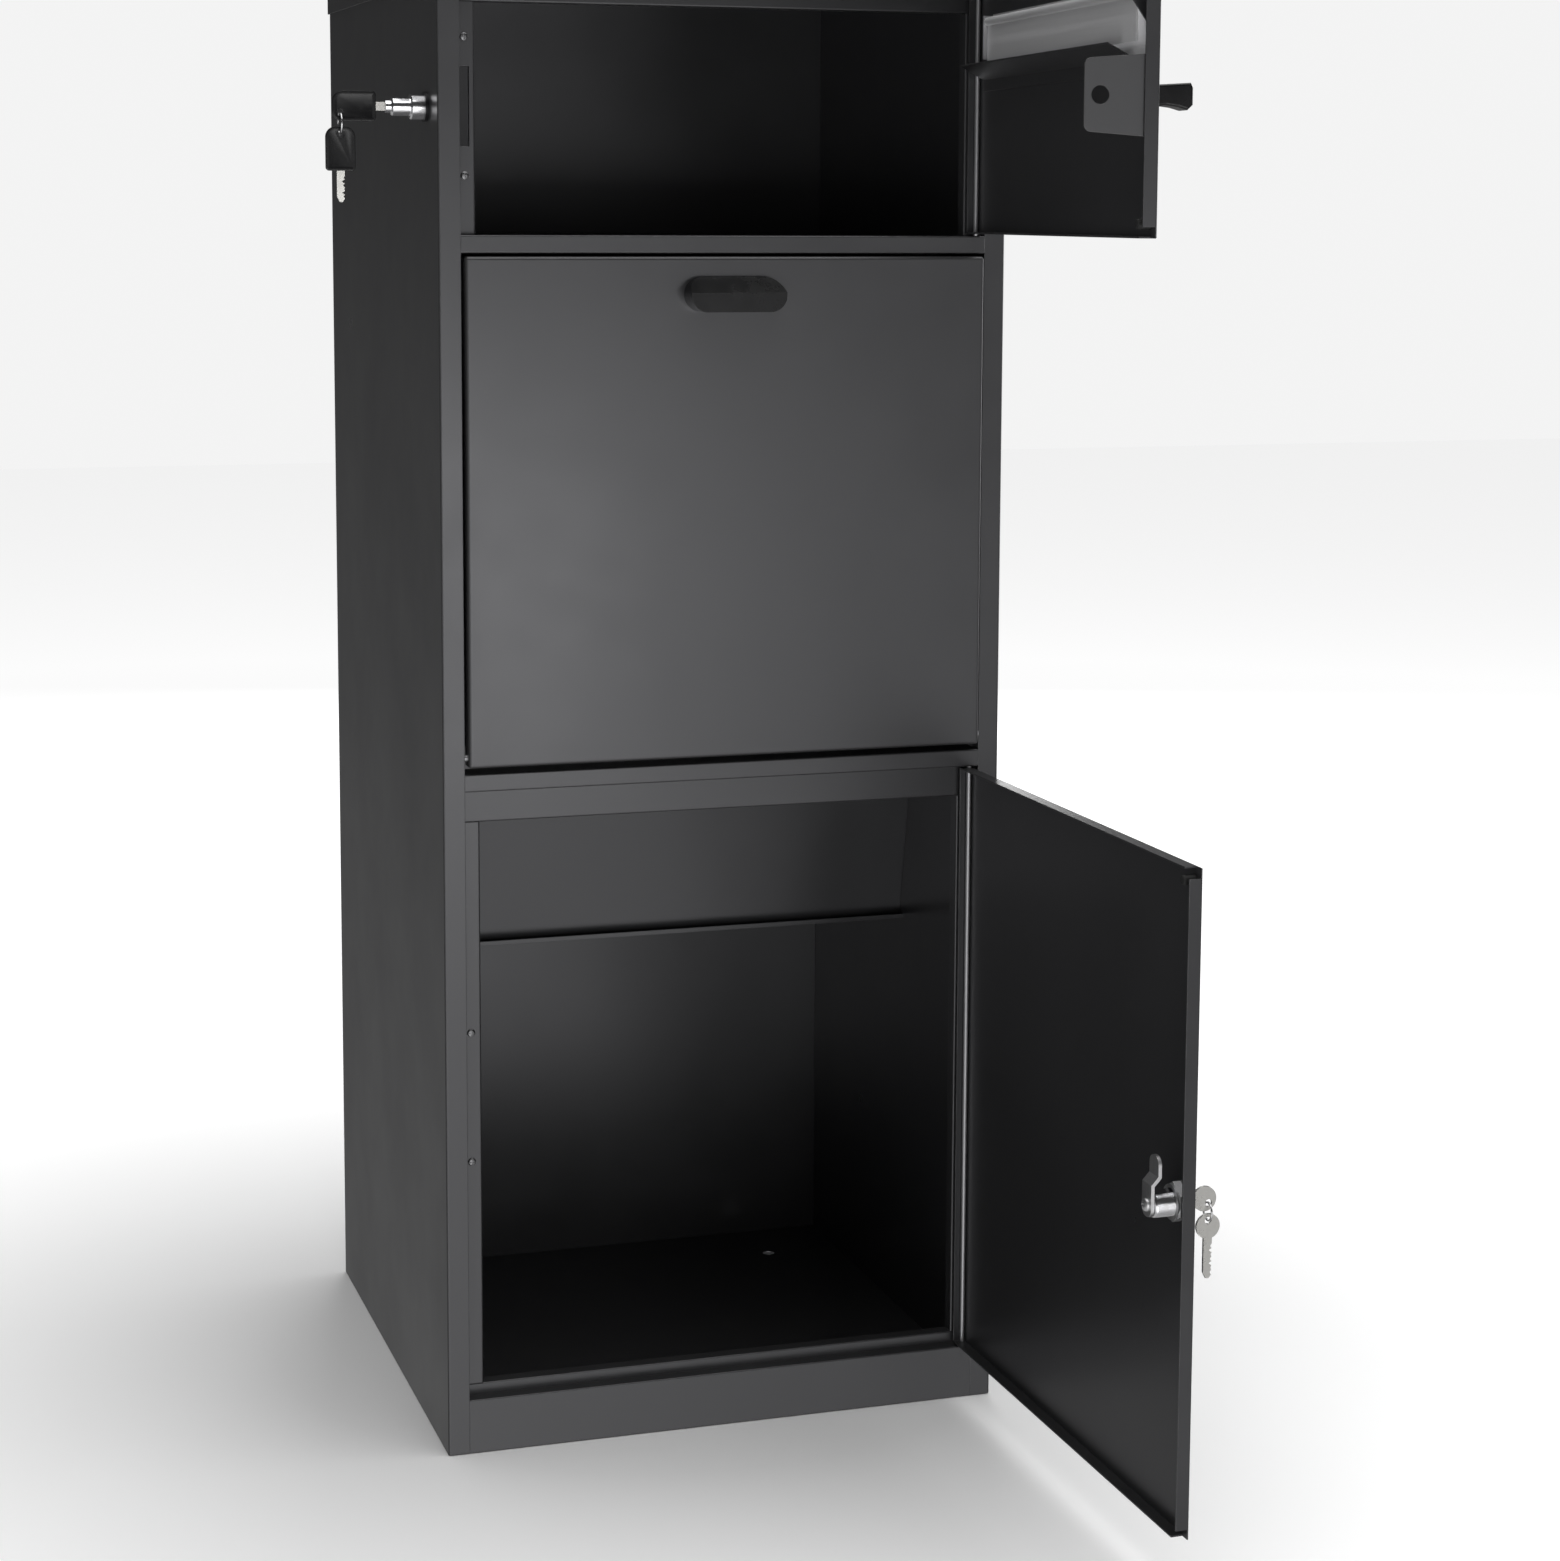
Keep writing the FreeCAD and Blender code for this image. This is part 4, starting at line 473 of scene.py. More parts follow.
@dataclass(frozen=True)
class DrawnMetal:
    """Rolled aluminium and drawn steel, with lines along their length."""

    base: Colour = (0.74, 0.74, 0.75)
    shade: Colour = (0.50, 0.50, 0.51)
    roughness: float = 0.28
    across: float = 1500.0

    def make(self, name: str, shelf: EffectShelf) -> bpy.types.Material:
        """Builds the material.

        Args:
            name: its name.
            shelf: the shared effects.

        Returns:
            The material.
        """
        paint = Paint(name, shelf)
        grain = paint.effect(Effect.DRAWN, Across=self.across, Along=9.0)
        edges = paint.effect(Effect.EDGES, Radius=0.25 * MM, Break_Up=160.0)
        streaks = grain.outputs["Streaks"]
        colour = paint.mix(streaks, opaque(self.shade), opaque(self.base))
        paint.feed(paint.shader.inputs["Base Color"], colour)
        rough = paint.spread(streaks, 0.3, 0.7, self.roughness - 0.06, self.roughness + 0.12)
        paint.feed(paint.shader.inputs["Roughness"], rough)
        paint.plain(Metallic=0.72)
        paint.relief(grain.outputs["Height"], edges.outputs["Normal"], 0.15, 0.02 * MM)
        return paint.material


@dataclass(frozen=True)
class Moulding:
    """Moulded plastic or rubber with a fine grain."""

    base: Colour = (0.006, 0.006, 0.0065)
    dust: Colour = (0.10, 0.10, 0.095)
    roughness: float = 0.22
    grain_scale: float = 1600.0
    grain: float = 0.25

    def make(self, name: str, shelf: EffectShelf) -> bpy.types.Material:
        """Builds the material.

        Args:
            name: its name.
            shelf: the shared effects.

        Returns:
            The material.
        """
        paint = Paint(name, shelf)
        peel = paint.effect(Effect.PEEL, Scale=self.grain_scale, Patch_Scale=40.0)
        edges = paint.effect(Effect.EDGES, Radius=0.6 * MM, Break_Up=120.0)
        dust = paint.effect(Effect.DUST, Film=0.12, Specks=0.10)
        colour = paint.mix(dust.outputs["Mask"], opaque(self.base), opaque(self.dust))
        paint.feed(paint.shader.inputs["Base Color"], colour)
        rough = paint.spread(peel.outputs["Patches"], 0.3, 0.7, self.roughness - 0.05, self.roughness + 0.1)
        paint.feed(paint.shader.inputs["Roughness"], rough)
        paint.plain(IOR=1.42, Specular_IOR_Level=0.4)
        paint.relief(peel.outputs["Height"], edges.outputs["Normal"], self.grain, 0.05 * MM)
        return paint.material


FINISHES: dict[str, PowderCoat | PlatedMetal | DrawnMetal | Moulding] = {
    "powder_coat": PowderCoat(),
    "lock_plate_coat": PowderCoat(base=(0.085, 0.085, 0.088), roughness=0.46),
    "screws": PlatedMetal(base=(0.20, 0.20, 0.205), tarnish=(0.08, 0.08, 0.08), roughness=0.3),
    "hinge_steel": DrawnMetal(
        base=(0.40, 0.40, 0.41), shade=(0.33, 0.33, 0.34), roughness=0.34, across=120.0
    ),
    "dark_trim": PowderCoat(base=(0.016, 0.016, 0.017), roughness=0.36, edge_radius=0.3 * MM),
    "lock_chrome": PlatedMetal(),
    "zinc": PlatedMetal(base=(0.72, 0.72, 0.73), roughness=0.34, grain=0.12),
    "bright_aluminium": DrawnMetal(base=(0.90, 0.90, 0.91), shade=(0.74, 0.74, 0.75), roughness=0.42),
    "black_plastic": Moulding(),
    "rubber": Moulding(base=(0.016, 0.016, 0.016), roughness=0.6, grain=0.4),
    "key_steel": PlatedMetal(base=(0.70, 0.69, 0.66), roughness=0.24, grain=0.15),
    "ring_steel": PlatedMetal(base=(0.68, 0.68, 0.69), roughness=0.2),
}


# Mesh making.


def loose_edges(mesh: bmesh.types.BMesh, test: Callable[[Vector, Vector], bool]) -> list[bmesh.types.BMEdge]:
    """The edges whose middle and direction pass a test.

    Args:
        mesh: the mesh.
        test: takes an edge's middle and its direction.

    Returns:
        The edges.
    """
    chosen = []
    for edge in mesh.edges:
        first, second = (vertex.co for vertex in edge.verts)
        if test((first + second) / 2, (second - first).normalized()):
            chosen.append(edge)
    return chosen


def soften(
    mesh: bmesh.types.BMesh, edges: Iterable[bmesh.types.BMEdge], width: float, segments: int = 2
) -> None:
    """Bevels edges.

    Args:
        mesh: the mesh.
        edges: the edges to round.
        width: how far the bevel reaches.
        segments: how many faces make the round.
    """
    bmesh.ops.bevel(
        mesh,
        geom=list(edges),
        offset=width,
        offset_type="OFFSET",
        segments=segments,
        profile=0.5,
        affect="EDGES",
        clamp_overlap=True,
        material=-1,
    )


def sharp_edges(mesh: bmesh.types.BMesh, degrees: float = 35.0) -> list[bmesh.types.BMEdge]:
    """Finds the edges whose faces meet at more than an angle.

    Args:
        mesh: the mesh.
        degrees: the angle.

    Returns:
        The edges.
    """
    limit = math.radians(degrees)
    return [edge for edge in mesh.edges if len(edge.link_faces) == 2 and edge.calc_face_angle(0.0) > limit]


class Piece:
    """A new object made from a mesh, in its place."""

    def __init__(self, name: str, mesh: bmesh.types.BMesh, place: Matrix | None = None) -> None:
        """Args:
            name: the piece's name.
            mesh: its mesh, which is used up.
            place: where the mesh goes.
        """
        if place is not None:
            bmesh.ops.transform(mesh, matrix=place, verts=mesh.verts)
        data = bpy.data.meshes.new(name)
        mesh.to_mesh(data)
        mesh.free()
        self.object = bpy.data.objects.new(name, data)
        bpy.context.scene.collection.objects.link(self.object)

    def cut(self, *cutters: "Piece") -> "Piece":
        """Takes other pieces away from this one and removes them.

        Args:
            cutters: the pieces to take away.

        Returns:
            This piece.
        """
        for cutter in cutters:
            modifier = self.object.modifiers.new("cut", "BOOLEAN")
            modifier.operation = "DIFFERENCE"
            modifier.solver = "EXACT"
            modifier.object = cutter.object
        graph = bpy.context.evaluated_depsgraph_get()
        result = bpy.data.meshes.new_from_object(self.object.evaluated_get(graph))
        self.object.modifiers.clear()
        before = self.object.data
        self.object.data = result
        result.name = before.name
        bpy.data.meshes.remove(before)
        for cutter in cutters:
            bpy.data.objects.remove(cutter.object)
        return self

    def smooth(self, degrees: float = 32.0) -> "Piece":
        """Shades the piece smooth, apart from its sharp edges.

        Args:
            degrees: the angle above which an edge is sharp.

        Returns:
            The piece itself.
        """
        data = self.object.data
        data.polygons.foreach_set("use_smooth", [True] * len(data.polygons))
        data.set_sharp_from_angle(angle=math.radians(degrees))
        return self

    def finish(
        self, body: str, slot: str, finish: bpy.types.Material, nodes: tuple[str, ...] = ()
    ) -> "Piece":
        """Dresses the piece and ties it to the frame.

        Args:
            body: the CAD body that it rides on.
            slot: the record's material slot; not used.
            finish: its material.
            nodes: the CAD nodes that it stands for.

        Returns:
            This piece.
        """
        self.object.data.materials.clear()
        self.object.data.materials.append(finish)
        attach(self.object, body)
        if nodes:
            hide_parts(*nodes)
        log.info("piece %s rides on %s", self.object.name, body)
        return self


def lathe(profile: list[tuple[float, float]], segments: int = 64) -> bmesh.types.BMesh:
    """Turns a closed profile about the Z axis.

    Args:
        profile: pairs of (height, radius), in order round the section.
        segments: how many steps a full turn has.

    Returns:
        The turned mesh.
    """
    mesh = bmesh.new()
    corners = [mesh.verts.new((radius, 0.0, height)) for height, radius in profile]
    following = corners[1:] + corners[:1]
    edges = [mesh.edges.new(pair) for pair in zip(corners, following)]
    bmesh.ops.spin(
        mesh,
        geom=corners + edges,
        cent=(0.0, 0.0, 0.0),
        axis=(0.0, 0.0, 1.0),
        angle=2 * math.pi,
        steps=segments,
        use_merge=True,
    )
    bmesh.ops.remove_doubles(mesh, verts=mesh.verts, dist=1e-7)
    bmesh.ops.dissolve_degenerate(mesh, dist=1e-7, edges=mesh.edges)
    bmesh.ops.recalc_face_normals(mesh, faces=mesh.faces)
    return mesh


def slab(outline: list[tuple[float, float]], thickness: float) -> bmesh.types.BMesh:
    """A flat piece in the XY plane, centred on it.

    Args:
        outline: its corners in order.
        thickness: its thickness along Z.

    Returns:
        The mesh.
    """
    mesh = bmesh.new()
    corners = [mesh.verts.new((x, y, -thickness / 2)) for x, y in outline]
    face = mesh.faces.new(corners)
    grown = bmesh.ops.extrude_face_region(mesh, geom=[face])
    risen = [item for item in grown["geom"] if isinstance(item, bmesh.types.BMVert)]
    bmesh.ops.translate(mesh, vec=(0.0, 0.0, thickness), verts=risen)
    bmesh.ops.recalc_face_normals(mesh, faces=mesh.faces)
    return mesh


def brick(
    size: tuple[float, float, float], centre: tuple[float, float, float] = (0.0, 0.0, 0.0)
) -> bmesh.types.BMesh:
    """A box.

    Args:
        size: its three sizes.
        centre: its centre.

    Returns:
        The mesh.
    """
    mesh = bmesh.new()
    bmesh.ops.create_cube(mesh, size=1.0)
    bmesh.ops.scale(mesh, vec=size, verts=mesh.verts)
    bmesh.ops.translate(mesh, vec=centre, verts=mesh.verts)
    return mesh


def drum(radius: float, length: float, place: Matrix, segments: int = 40) -> bmesh.types.BMesh:
    """A cylinder along its own Z axis.

    Args:
        radius: its radius.
        length: its length.
        place: where it goes.
        segments: how many sides it has.

    Returns:
        The mesh.
    """
    mesh = bmesh.new()
    bmesh.ops.create_cone(
        mesh, cap_ends=True, segments=segments, radius1=radius, radius2=radius, depth=length, matrix=place
    )
    return mesh


# The locker's own sub-assemblies.


@dataclass
class Workshop:
    """What every sub-assembly needs: the frame, the materials and the doors' places."""

    frame: dict
    shelf: EffectShelf = field(default_factory=EffectShelf)
    materials: dict[str, bpy.types.Material] = field(default_factory=dict)

    def mix_finishes(self) -> None:
        """Builds one material for each of the record's slots."""
        for slot, finish in FINISHES.items():
            self.materials[slot] = finish.make(slot, self.shelf)

    def dress_frame(self) -> None:
        """Gives each CAD node the material of its slot."""
        for part in self.frame["record"]["subparts"]:
            data = self.frame["nodes"][part["node"]].data
            data.materials.clear()
            data.materials.append(self.materials[part["material_slot"]])
            log.info("node %s wears %s", part["node"], part["material_slot"])

    def joint(self, name: str) -> dict:
        """Finds a joint by name."""
        return next(joint for joint in self.frame["joints"] if joint["name"] == name)

    def door_place(self, joint_name: str) -> Matrix:
        """Where a door's own frame lies: its rod is the origin and the door runs along -X.

        Args:
            joint_name: the door's hinge. Its range ends where the door is shut.

        Returns:
            The matrix from the door's own frame to the object's.
        """
        joint = self.joint(joint_name)
        x, y, _ = joint["pos_m"]
        opened = math.radians(-joint["range_deg"][0])
        return Matrix.Translation((x, y, 0.0)) @ Matrix.Rotation(opened, 4, "Z")


@dataclass
class CrossScrew:
    """A small domed screw with a cross recess; its axis is Z and its seat is at 0."""

    head_radius: float = 3.0 * MM
    head_height: float = 1.3 * MM
    shank_radius: float = 1.9 * MM
    shank_length: float = 6.0 * MM
    recess_width: float = 0.75 * MM
    recess_depth: float = 0.9 * MM

    def build(self, name: str, place: Matrix) -> Piece:
        """Makes the screw.

        Args:
            name: the piece's name.
            place: where its seat goes, with the head towards +Z.

        Returns:
            The piece.
        """
        steps = 6
        profile = [
            (-self.shank_length, 0.0),
            (-self.shank_length, self.shank_radius),
            (0.0, self.shank_radius),
        ]
        for step in range(steps + 1):
            turn = math.pi / 2 * step / steps
            dome = 0.25 + 0.75 * math.sin(turn) if step else 0.0
            reach = self.head_radius * max(math.cos(turn), 0.0)
            profile.append((self.head_height * dome, reach))
        mesh = lathe(profile, 36)
        bmesh.ops.transform(mesh, matrix=place, verts=mesh.verts)
        screw = Piece(name, mesh)
        reach = self.head_radius * 1.25
        top = (0.0, 0.0, self.head_height - self.recess_depth / 2 + 0.1 * MM)
        for across, along in ((reach, self.recess_width), (self.recess_width, reach)):
            slot = brick((across, along, self.recess_depth), top)
            screw.cut(Piece("recess", slot, place))
        return screw.smooth()


def merge(name: str, pieces: list[Piece]) -> Piece:
    """Joins equal pieces into one object.

    Args:
        name: the object's name.
        pieces: the pieces, which are used up.

    Returns:
        The joined piece.
    """
    mesh = bmesh.new()
    for piece in pieces:
        mesh.from_mesh(piece.object.data)
        bpy.data.objects.remove(piece.object)
    return Piece(name, mesh).smooth()


@dataclass
class ScrewWork:
    """The cross-recess screws: four in the left-hand door stops, and one on the cam."""

    shop: Workshop
    seat_depth: float = 11.0 * MM
    pitch: float = 97.0 * MM
    head_radius: float = 3.0 * MM
    face_out: Matrix = field(default_factory=lambda: Matrix.Rotation(math.pi / 2, 4, "X"))

    def stop_screws(self) -> None:
        """The four screws that hold the plates behind the left-hand door stops."""
        low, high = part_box("jamb_screws")
        across = (low.x + high.x) / 2
        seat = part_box("side_panel_left")[0].y + self.seat_depth
        upper, lower = high.z - self.head_radius, low.z + self.head_radius
        screws = []
        for level in (upper, upper - self.pitch, lower, lower + self.pitch):
            place = Matrix.Translation((across, seat, level)) @ self.face_out
            screws.append(CrossScrew(shank_length=5.5 * MM).build("stop_screw", place))
        merge("door_stop_screws", screws).finish(
            "cabinet", "screws", self.shop.materials["screws"], ("jamb_screws",)
        )

    def cam_screw(self) -> None:
        """The screw that holds the cam on its plug."""
        low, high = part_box("cam_screw")
        door = self.shop.door_place("parcel_door_hinge")
        centre = (low + high) / 2
        seat = Vector((low.x + 3.0 * MM, centre.y, centre.z))
        turn = door.to_3x3().to_4x4() @ Matrix.Rotation(-math.pi / 2, 4, "X")
        screw = CrossScrew(4.5 * MM, 2.8 * MM, 2.0 * MM, 9.5 * MM, 1.1 * MM, 1.6 * MM)
        screw.build("cam_cross_screw", Matrix.Translation(seat) @ turn).finish(
            "cam", "zinc", self.shop.materials["zinc"], ("cam_screw",)
        )

    def build(self) -> None:
        """Makes all the screws."""
        self.stop_screws()
        self.cam_screw()


@dataclass
class CamLock:
    """The threaded body of the parcel door's lock; its own Z runs from the outer face inwards."""

    shop: Workshop
    flange_radius: float = 11.0 * MM
    flange: float = 2.2 * MM
    body_radius: float = 9.5 * MM
    bore_radius: float = 6.05 * MM
    length: float = 22.8 * MM
    thread_pitch: float = 1.25 * MM
    thread_depth: float = 0.55 * MM
    flat_half_width: float = 8.0 * MM

    def profile(self) -> list[tuple[float, float]]:
        """The section of the body, from its bore round the flange and along the thread.

        Returns:
            Pairs of (height, radius) in order.
        """
        root = self.body_radius - self.thread_depth
        points = [
            (self.length, self.bore_radius),
            (-self.flange, self.bore_radius),
            (-self.flange, self.flange_radius - 0.9 * MM),
            (-self.flange + 0.3 * MM, self.flange_radius - 0.3 * MM),
            (-self.flange + 0.9 * MM, self.flange_radius),
            (0.0, self.flange_radius),
            (0.0, root),
        ]
        turns = int((self.length - 2.5 * MM) / self.thread_pitch)
        for turn in range(turns):
            start = 1.6 * MM + turn * self.thread_pitch
            points.append((start, root))
            points.append((start + self.thread_pitch / 2, self.body_radius))
        points.append((self.length - 0.5 * MM, root))
        points.append((self.length, root - self.thread_depth))
        return points

    def build(self) -> None:
        """Makes the threaded body, with its two flats."""
        low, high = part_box("cam_lock_plug")
        door = self.shop.door_place("parcel_door_hinge")
        local = door.inverted() @ ((low + high) / 2)
        skin = -3.4 * MM
        place = door @ Matrix.Translation((local.x, skin, local.z)) @ Matrix.Rotation(-math.pi / 2, 4, "X")
        body = Piece("cam_lock_threaded_body", lathe(self.profile(), 72), place)
        for way in (-1, 1):
            flat = brick(
                (4 * self.flange_radius, 4 * MM, self.length + 2 * MM),
                (0.0, way * (self.flat_half_width + 2 * MM), self.length / 2 + 1.2 * MM),
            )
            body.cut(Piece("flat", flat, place))
        chrome = self.shop.materials["lock_chrome"]
        body.smooth().finish("parcel_door", "lock_chrome", chrome, ("cam_lock_body",))


@dataclass
class KeyBlade:
    """A flat key blade with cuts along one edge. It hangs down: +Y is up and the tip is at -length."""

    width: float = 6.0 * MM
    length: float = 22.0 * MM
    thickness: float = 2.0 * MM
    cuts: tuple[float, ...] = (0.9, 1.7, 0.5, 1.3, 2.0, 0.8)

    def outline(self, root: float) -> list[tuple[float, float]]:
        """The blade's outline.

        Args:
            root: how far it reaches up into the bow.

        Returns:
            Its corners in order.
        """
        half = self.width / 2
        tip = -self.length
        points = [(half, root), (-half, root), (-half, tip + 4 * MM), (-1.0 * MM, tip), (1.2 * MM, tip)]
        step = (self.length - 6 * MM) / len(self.cuts)
        for index, depth in enumerate(self.cuts):
            level = tip + 2.5 * MM + index * step
            points.append((half, level))
            points.append((half - depth * MM, level + step * 0.45))
            points.append((half - depth * MM, level + step * 0.6))
        points.append((half, tip + 2.5 * MM + len(self.cuts) * step))
        return points

    def mesh(self, root: float) -> bmesh.types.BMesh:
        """Makes the blade's mesh, softened at its edges.

        Args:
            root: how far it reaches up into the bow.

        Returns:
            The mesh.
        """
        mesh = slab(self.outline(root), self.thickness)
        soften(mesh, sharp_edges(mesh, 60.0), 0.18 * MM, 1)
        return mesh


@dataclass
class Keys:
    """The keys in both locks and the spare keys that hang from them."""

    shop: Workshop
    bow_length: float = 31.0 * MM
    bow_width: float = 21.0 * MM
    bow_thickness: float = 3.4 * MM
    hole_radius: float = 2.5 * MM
    hole_inset: float = 5.6 * MM

    def bow(self, name: str, place: Matrix, hole: tuple[float, float], seat: bool) -> Piece:
        """A moulded bow with a sunk panel on each face. It hangs down in its own XY plane.

        Args:
            name: the piece's name.
            place: where its centre goes.
            hole: the ring hole's place in the bow's own frame.
            seat: whether the blade's seat is cut into it.

        Returns:
            The piece.
        """
        mesh = brick((self.bow_width, self.bow_length, self.bow_thickness))
        top = self.bow_length / 2
        upper = loose_edges(mesh, lambda middle, along: abs(along.z) > 0.9 and middle.y > 0.9 * top)
        soften(mesh, upper, 7.5 * MM, 10)
        lower = loose_edges(mesh, lambda middle, along: abs(along.z) > 0.9 and middle.y < -0.9 * top)
        soften(mesh, lower, 2.5 * MM, 5)
        faces = [face for face in mesh.faces if abs(face.normal.z) > 0.9]
        bmesh.ops.inset_region(mesh, faces=faces, thickness=2.6 * MM, depth=0.0)
        flat = [face for face in mesh.faces if abs(face.normal.z) > 0.9 and len(face.verts) > 8]
        panels = [face for face in flat if face.calc_center_median().xy.length < 4 * MM]
        for face in panels:
            shift = -0.45 * MM if face.normal.z > 0 else 0.45 * MM
            bmesh.ops.translate(mesh, vec=(0.0, 0.0, shift), verts=face.verts)
        soften(mesh, sharp_edges(mesh, 50.0), 0.35 * MM, 2)
        piece = Piece(name, mesh, place)
        spot = place @ Matrix.Translation((hole[0], hole[1], 0.0))
        cutters = [Piece("ring_hole", drum(self.hole_radius, 12 * MM, spot))]
        if seat:
            seat_mesh = brick((6 * MM, 8 * MM, 2 * MM), (0.0, -top + 4 * MM, 0.0))
            cutters.append(Piece("blade_seat", seat_mesh, place))
        return piece.cut(*cutters).smooth()

    def side_keys(self) -> None:
        """The key in the side lock, and its spare."""
        plastic = self.shop.materials["black_plastic"]
        low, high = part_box("side_key_bow")
        centre = (low + high) / 2
        ring_low, ring_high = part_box("side_key_ring")
        ring_x = (ring_low.x + ring_high.x) / 2
        facing = Matrix.Rotation(math.pi / 2, 4, "X")
        lying = Matrix.Translation(centre) @ facing @ Matrix.Rotation(math.pi / 2, 4, "Z")
        hole = (ring_high.z - 0.75 * MM - centre.z, centre.x - ring_x)
        self.bow("side_key_moulded_bow", lying, hole, True).finish(
            "side_key", "black_plastic", plastic, ("side_key_bow",)
        )
        low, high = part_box("side_spare_bow")
        centre = (low + high) / 2
        hanging = Matrix.Translation(centre) @ facing
        hole = (0.0, self.bow_length / 2 - self.hole_inset)
        self.bow("side_spare_moulded_bow", hanging, hole, True).finish(
            "side_keys", "black_plastic", plastic, ("side_spare_bow",)
        )
        root = Matrix.Translation((centre.x, centre.y, low.z)) @ facing
        blade = KeyBlade(length=low.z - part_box("side_spare_blade")[0].z)
        Piece("side_spare_cut_blade", blade.mesh(8 * MM), root).smooth(20).finish(
            "side_keys", "key_steel", self.shop.materials["key_steel"], ("side_spare_blade",)
        )

    def door_spare(self) -> None:
        """The spare key that hangs from the parcel door's key: a round bow and a cut blade."""
        low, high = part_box("door_spare_key")
        centre = (low + high) / 2
        radius = (high.x - low.x) / 2
        door = self.shop.door_place("parcel_door_hinge").to_3x3().to_4x4()
        # The key's plane is square to the door: its own X axis is the door's outward direction.
        turn = door @ Matrix.Rotation(-math.pi / 2, 4, "Z") @ Matrix.Rotation(math.pi / 2, 4, "X")
        bow_level = high.z - radius
        place = Matrix.Translation((centre.x, centre.y, bow_level - radius)) @ turn
        blade = KeyBlade(length=bow_level - radius - low.z, cuts=(1.1, 0.6, 1.8, 1.2, 0.7, 1.9, 1.0))
        key = Piece("door_spare_cut_key", slab(self.round_key(blade, radius), 2 * MM), place)
        ring_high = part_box("door_key_ring")[1].z
        ring_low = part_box("door_key_ring")[0].z
        hole_level = ring_low + 0.75 * MM - (bow_level - radius)
        spot = place @ Matrix.Translation((0.0, hole_level, 0.0))
        key.cut(Piece("spare_hole", drum(self.hole_radius, 8 * MM, spot))).smooth(20).finish(
            "door_keys", "key_steel", self.shop.materials["key_steel"], ("door_spare_key",)
        )
        log.info("door ring spans %.4f m", ring_high - ring_low)

    @staticmethod
    def round_key(blade: KeyBlade, radius: float) -> list[tuple[float, float]]:
        """The outline of a key with a round bow above its blade.

        Args:
            blade: the blade below the bow.
            radius: the bow's radius. The bow's centre is a radius above the blade's root.

        Returns:
            The outline's corners in order.
        """
        half = blade.width / 2
        start = math.asin(half / radius)
        steps = 40
        points = []
        for step in range(steps + 1):
            turn = -math.pi / 2 + start + (2 * math.pi - 2 * start) * step / steps
            points.append((radius * math.cos(turn), radius + radius * math.sin(turn)))
        lower = blade.outline(0.0)
        return points + lower[2:]

    def build(self) -> None:
        """Makes the keys."""
        self.side_keys()
        self.door_spare()


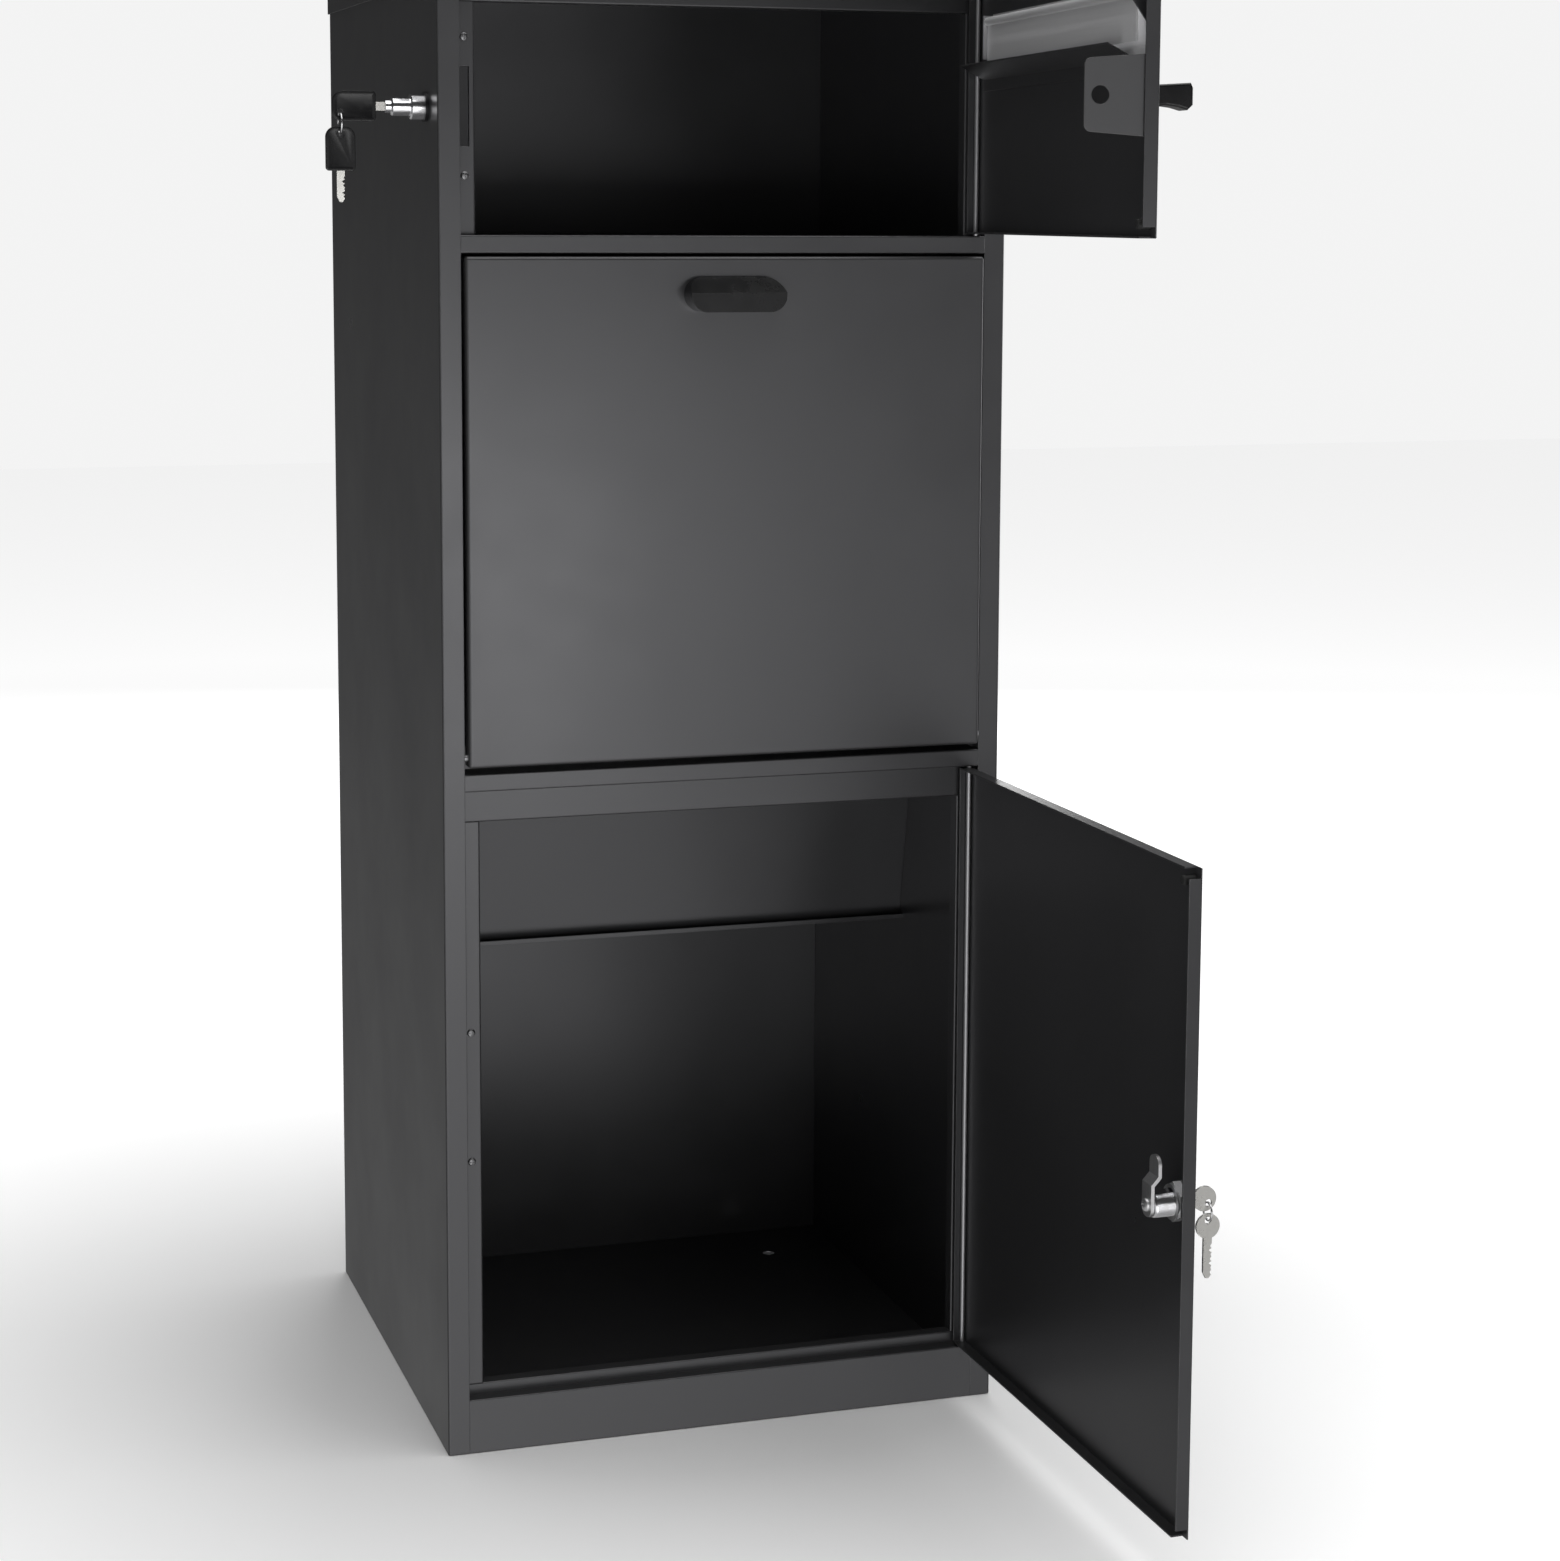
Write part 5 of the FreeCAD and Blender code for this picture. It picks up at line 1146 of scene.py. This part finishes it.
@dataclass
class Studio:
    """A pale floor, soft light and the camera."""

    floor_colour: Colour = (0.82, 0.82, 0.82)
    near_glow: float = 0.36
    far_glow: float = 0.36
    backdrop: Colour = (0.90, 0.90, 0.90)
    soft_air: Colour = (0.30, 0.30, 0.30)
    dim_air: float = 0.045
    dim_floor: float = 0.40
    front_floor_glow: float = 1.5
    camera_place: Colour = (-0.6733, -2.4183, 0.9121)
    yaw: float = 17.744
    pitch: float = 7.153
    roll: float = 0.254
    lens: float = 72.939
    shift_x: float = 0.0066
    shift_y: float = -0.11

    def floor(self, shelf: EffectShelf) -> None:
        """Lays the floor, which glows a little far away so that it stays pale.

        Args:
            shelf: the shared effects.
        """
        mesh = bmesh.new()
        bmesh.ops.create_grid(mesh, x_segments=1, y_segments=1, size=9.0)
        bmesh.ops.translate(mesh, vec=(0.0, 0.0, -0.0006), verts=mesh.verts)
        piece = Piece("studio_floor", mesh)
        paint = Paint("studio_floor", shelf)
        paint.plain(Roughness=0.75)
        length = paint.add("ShaderNodeVectorMath", {0: paint.object_place()}, operation="LENGTH")
        away = length.outputs["Value"]
        near_glow = paint.spread(away, 0.3, 0.8, 0.0, self.near_glow)
        far_glow = paint.spread(away, 0.8, 4.0, 0.0, self.far_glow)
        paint.feed(paint.shader.inputs["Emission Strength"], paint.math("ADD", near_glow, far_glow))
        paint.shader.inputs["Base Color"].default_value = opaque(self.floor_colour)
        paint.shader.inputs["Emission Color"].default_value = opaque(self.backdrop)
        piece.object.data.materials.append(paint.material)
        piece.object.visible_glossy = False

    @staticmethod
    def softbox(name: str, place: Colour, target: Colour, size: tuple[float, float], power: float) -> None:
        """Hangs an area light.

        Args:
            name: its name.
            place: where it is.
            target: what it points at.
            size: its width and height.
            power: its power in watts.
        """
        data = bpy.data.lights.new(name, "AREA")
        data.shape = "RECTANGLE"
        data.size, data.size_y = size
        data.energy = power
        lamp = bpy.data.objects.new(name, data)
        lamp.location = place
        lamp.rotation_euler = (Vector(target) - Vector(place)).to_track_quat("-Z", "Y").to_euler()
        bpy.context.scene.collection.objects.link(lamp)

    def light(self) -> None:
        """Sets the sky and the softboxes."""
        world = bpy.data.worlds.new("studio_air")
        bpy.context.scene.world = world
        world.use_nodes = True
        world.cycles.sampling_method = "NONE"
        self.air(NodeDesk(world.node_tree))
        self.softbox("front_softbox", (0.12, -3.1, 0.33), (0.12, 0.0, 0.33), (1.25, 0.62), 9.4)
        self.softbox("top_softbox", (0.3, -0.4, 3.2), (0.2, -0.2, 0.0), (3.0, 3.0), 85.0)
        self.softbox("right_softbox", (3.2, -0.3, 1.0), (0.2, -0.2, 0.6), (1.2, 1.6), 30.0)
        self.softbox("back_softbox", (1.0, 3.2, 1.1), (0.1, 0.2, 0.6), (1.2, 1.4), 24.0)

    def air(self, desk: NodeDesk) -> None:
        """Paints what surrounds the studio: pale to look at, but dim on the gloss of the locker.

        Args:
            desk: the world's node tree.
        """
        desk.tree.nodes.clear()
        aim = desk.add("ShaderNodeSeparateXYZ", {0: desk.add("ShaderNodeTexCoord").outputs["Generated"]})
        aside, along, up = aim.outputs[0], aim.outputs[1], aim.outputs[2]
        ahead = desk.math("MAXIMUM", desk.math("MULTIPLY", along, -1.0), 0.02)
        lean = desk.math("DIVIDE", aside, ahead)
        window = desk.spread(lean, 0.28, 0.38, 1.0, 0.08)
        below = desk.spread(up, 0.05, -0.15, 0.0, 1.0)
        in_front = desk.spread(along, -0.35, -0.75, 0.0, 1.0)
        front_floor = desk.math("MULTIPLY", desk.math("MULTIPLY", window, below), in_front)
        dim = desk.spread(up, 0.05, -0.60, self.dim_air, self.dim_floor)
        level = desk.math("ADD", dim, desk.math("MULTIPLY", front_floor, self.front_floor_glow))
        path = desk.add("ShaderNodeLightPath")
        glossy = desk.mix(path.outputs["Is Camera Ray"], level, opaque(self.backdrop))
        shown = desk.mix(path.outputs["Is Diffuse Ray"], glossy, opaque(self.soft_air))
        background = desk.add("ShaderNodeBackground", {"Color": shown, "Strength": 1.0})
        desk.add("ShaderNodeOutputWorld", {"Surface": background.outputs[0]})

    def camera(self) -> None:
        """Places the camera: it stands to the left of the front and looks slightly down."""
        data = bpy.data.cameras.new("camera")
        data.sensor_width = 36.0
        data.lens = self.lens
        data.shift_x = self.shift_x
        data.shift_y = self.shift_y
        data.clip_start, data.clip_end = 0.05, 60.0
        camera = bpy.data.objects.new("camera", data)
        turn = (
            Matrix.Rotation(math.radians(-self.yaw), 4, "Z")
            @ Matrix.Rotation(math.radians(90.0 - self.pitch), 4, "X")
            @ Matrix.Rotation(math.radians(self.roll), 4, "Z")
        )
        camera.location = self.camera_place
        camera.rotation_euler = turn.to_euler()
        bpy.context.scene.collection.objects.link(camera)
        bpy.context.scene.camera = camera

    def build(self, shelf: EffectShelf) -> None:
        """Sets up the whole studio.

        Args:
            shelf: the shared effects.
        """
        self.floor(shelf)
        self.light()
        self.camera()
        bpy.context.scene.view_settings.view_transform = "Standard"


def main() -> None:
    """Loads the frame, dresses it, adds the small parts and sets up the studio."""
    logging.basicConfig(level=logging.INFO, format="%(name)s: %(message)s")
    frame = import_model()
    shop = Workshop(frame)
    shop.mix_finishes()
    shop.dress_frame()
    ScrewWork(shop).build()
    CamLock(shop).build()
    Keys(shop).build()
    Studio().build(shop.shelf)


if __name__ == "__main__":
    main()
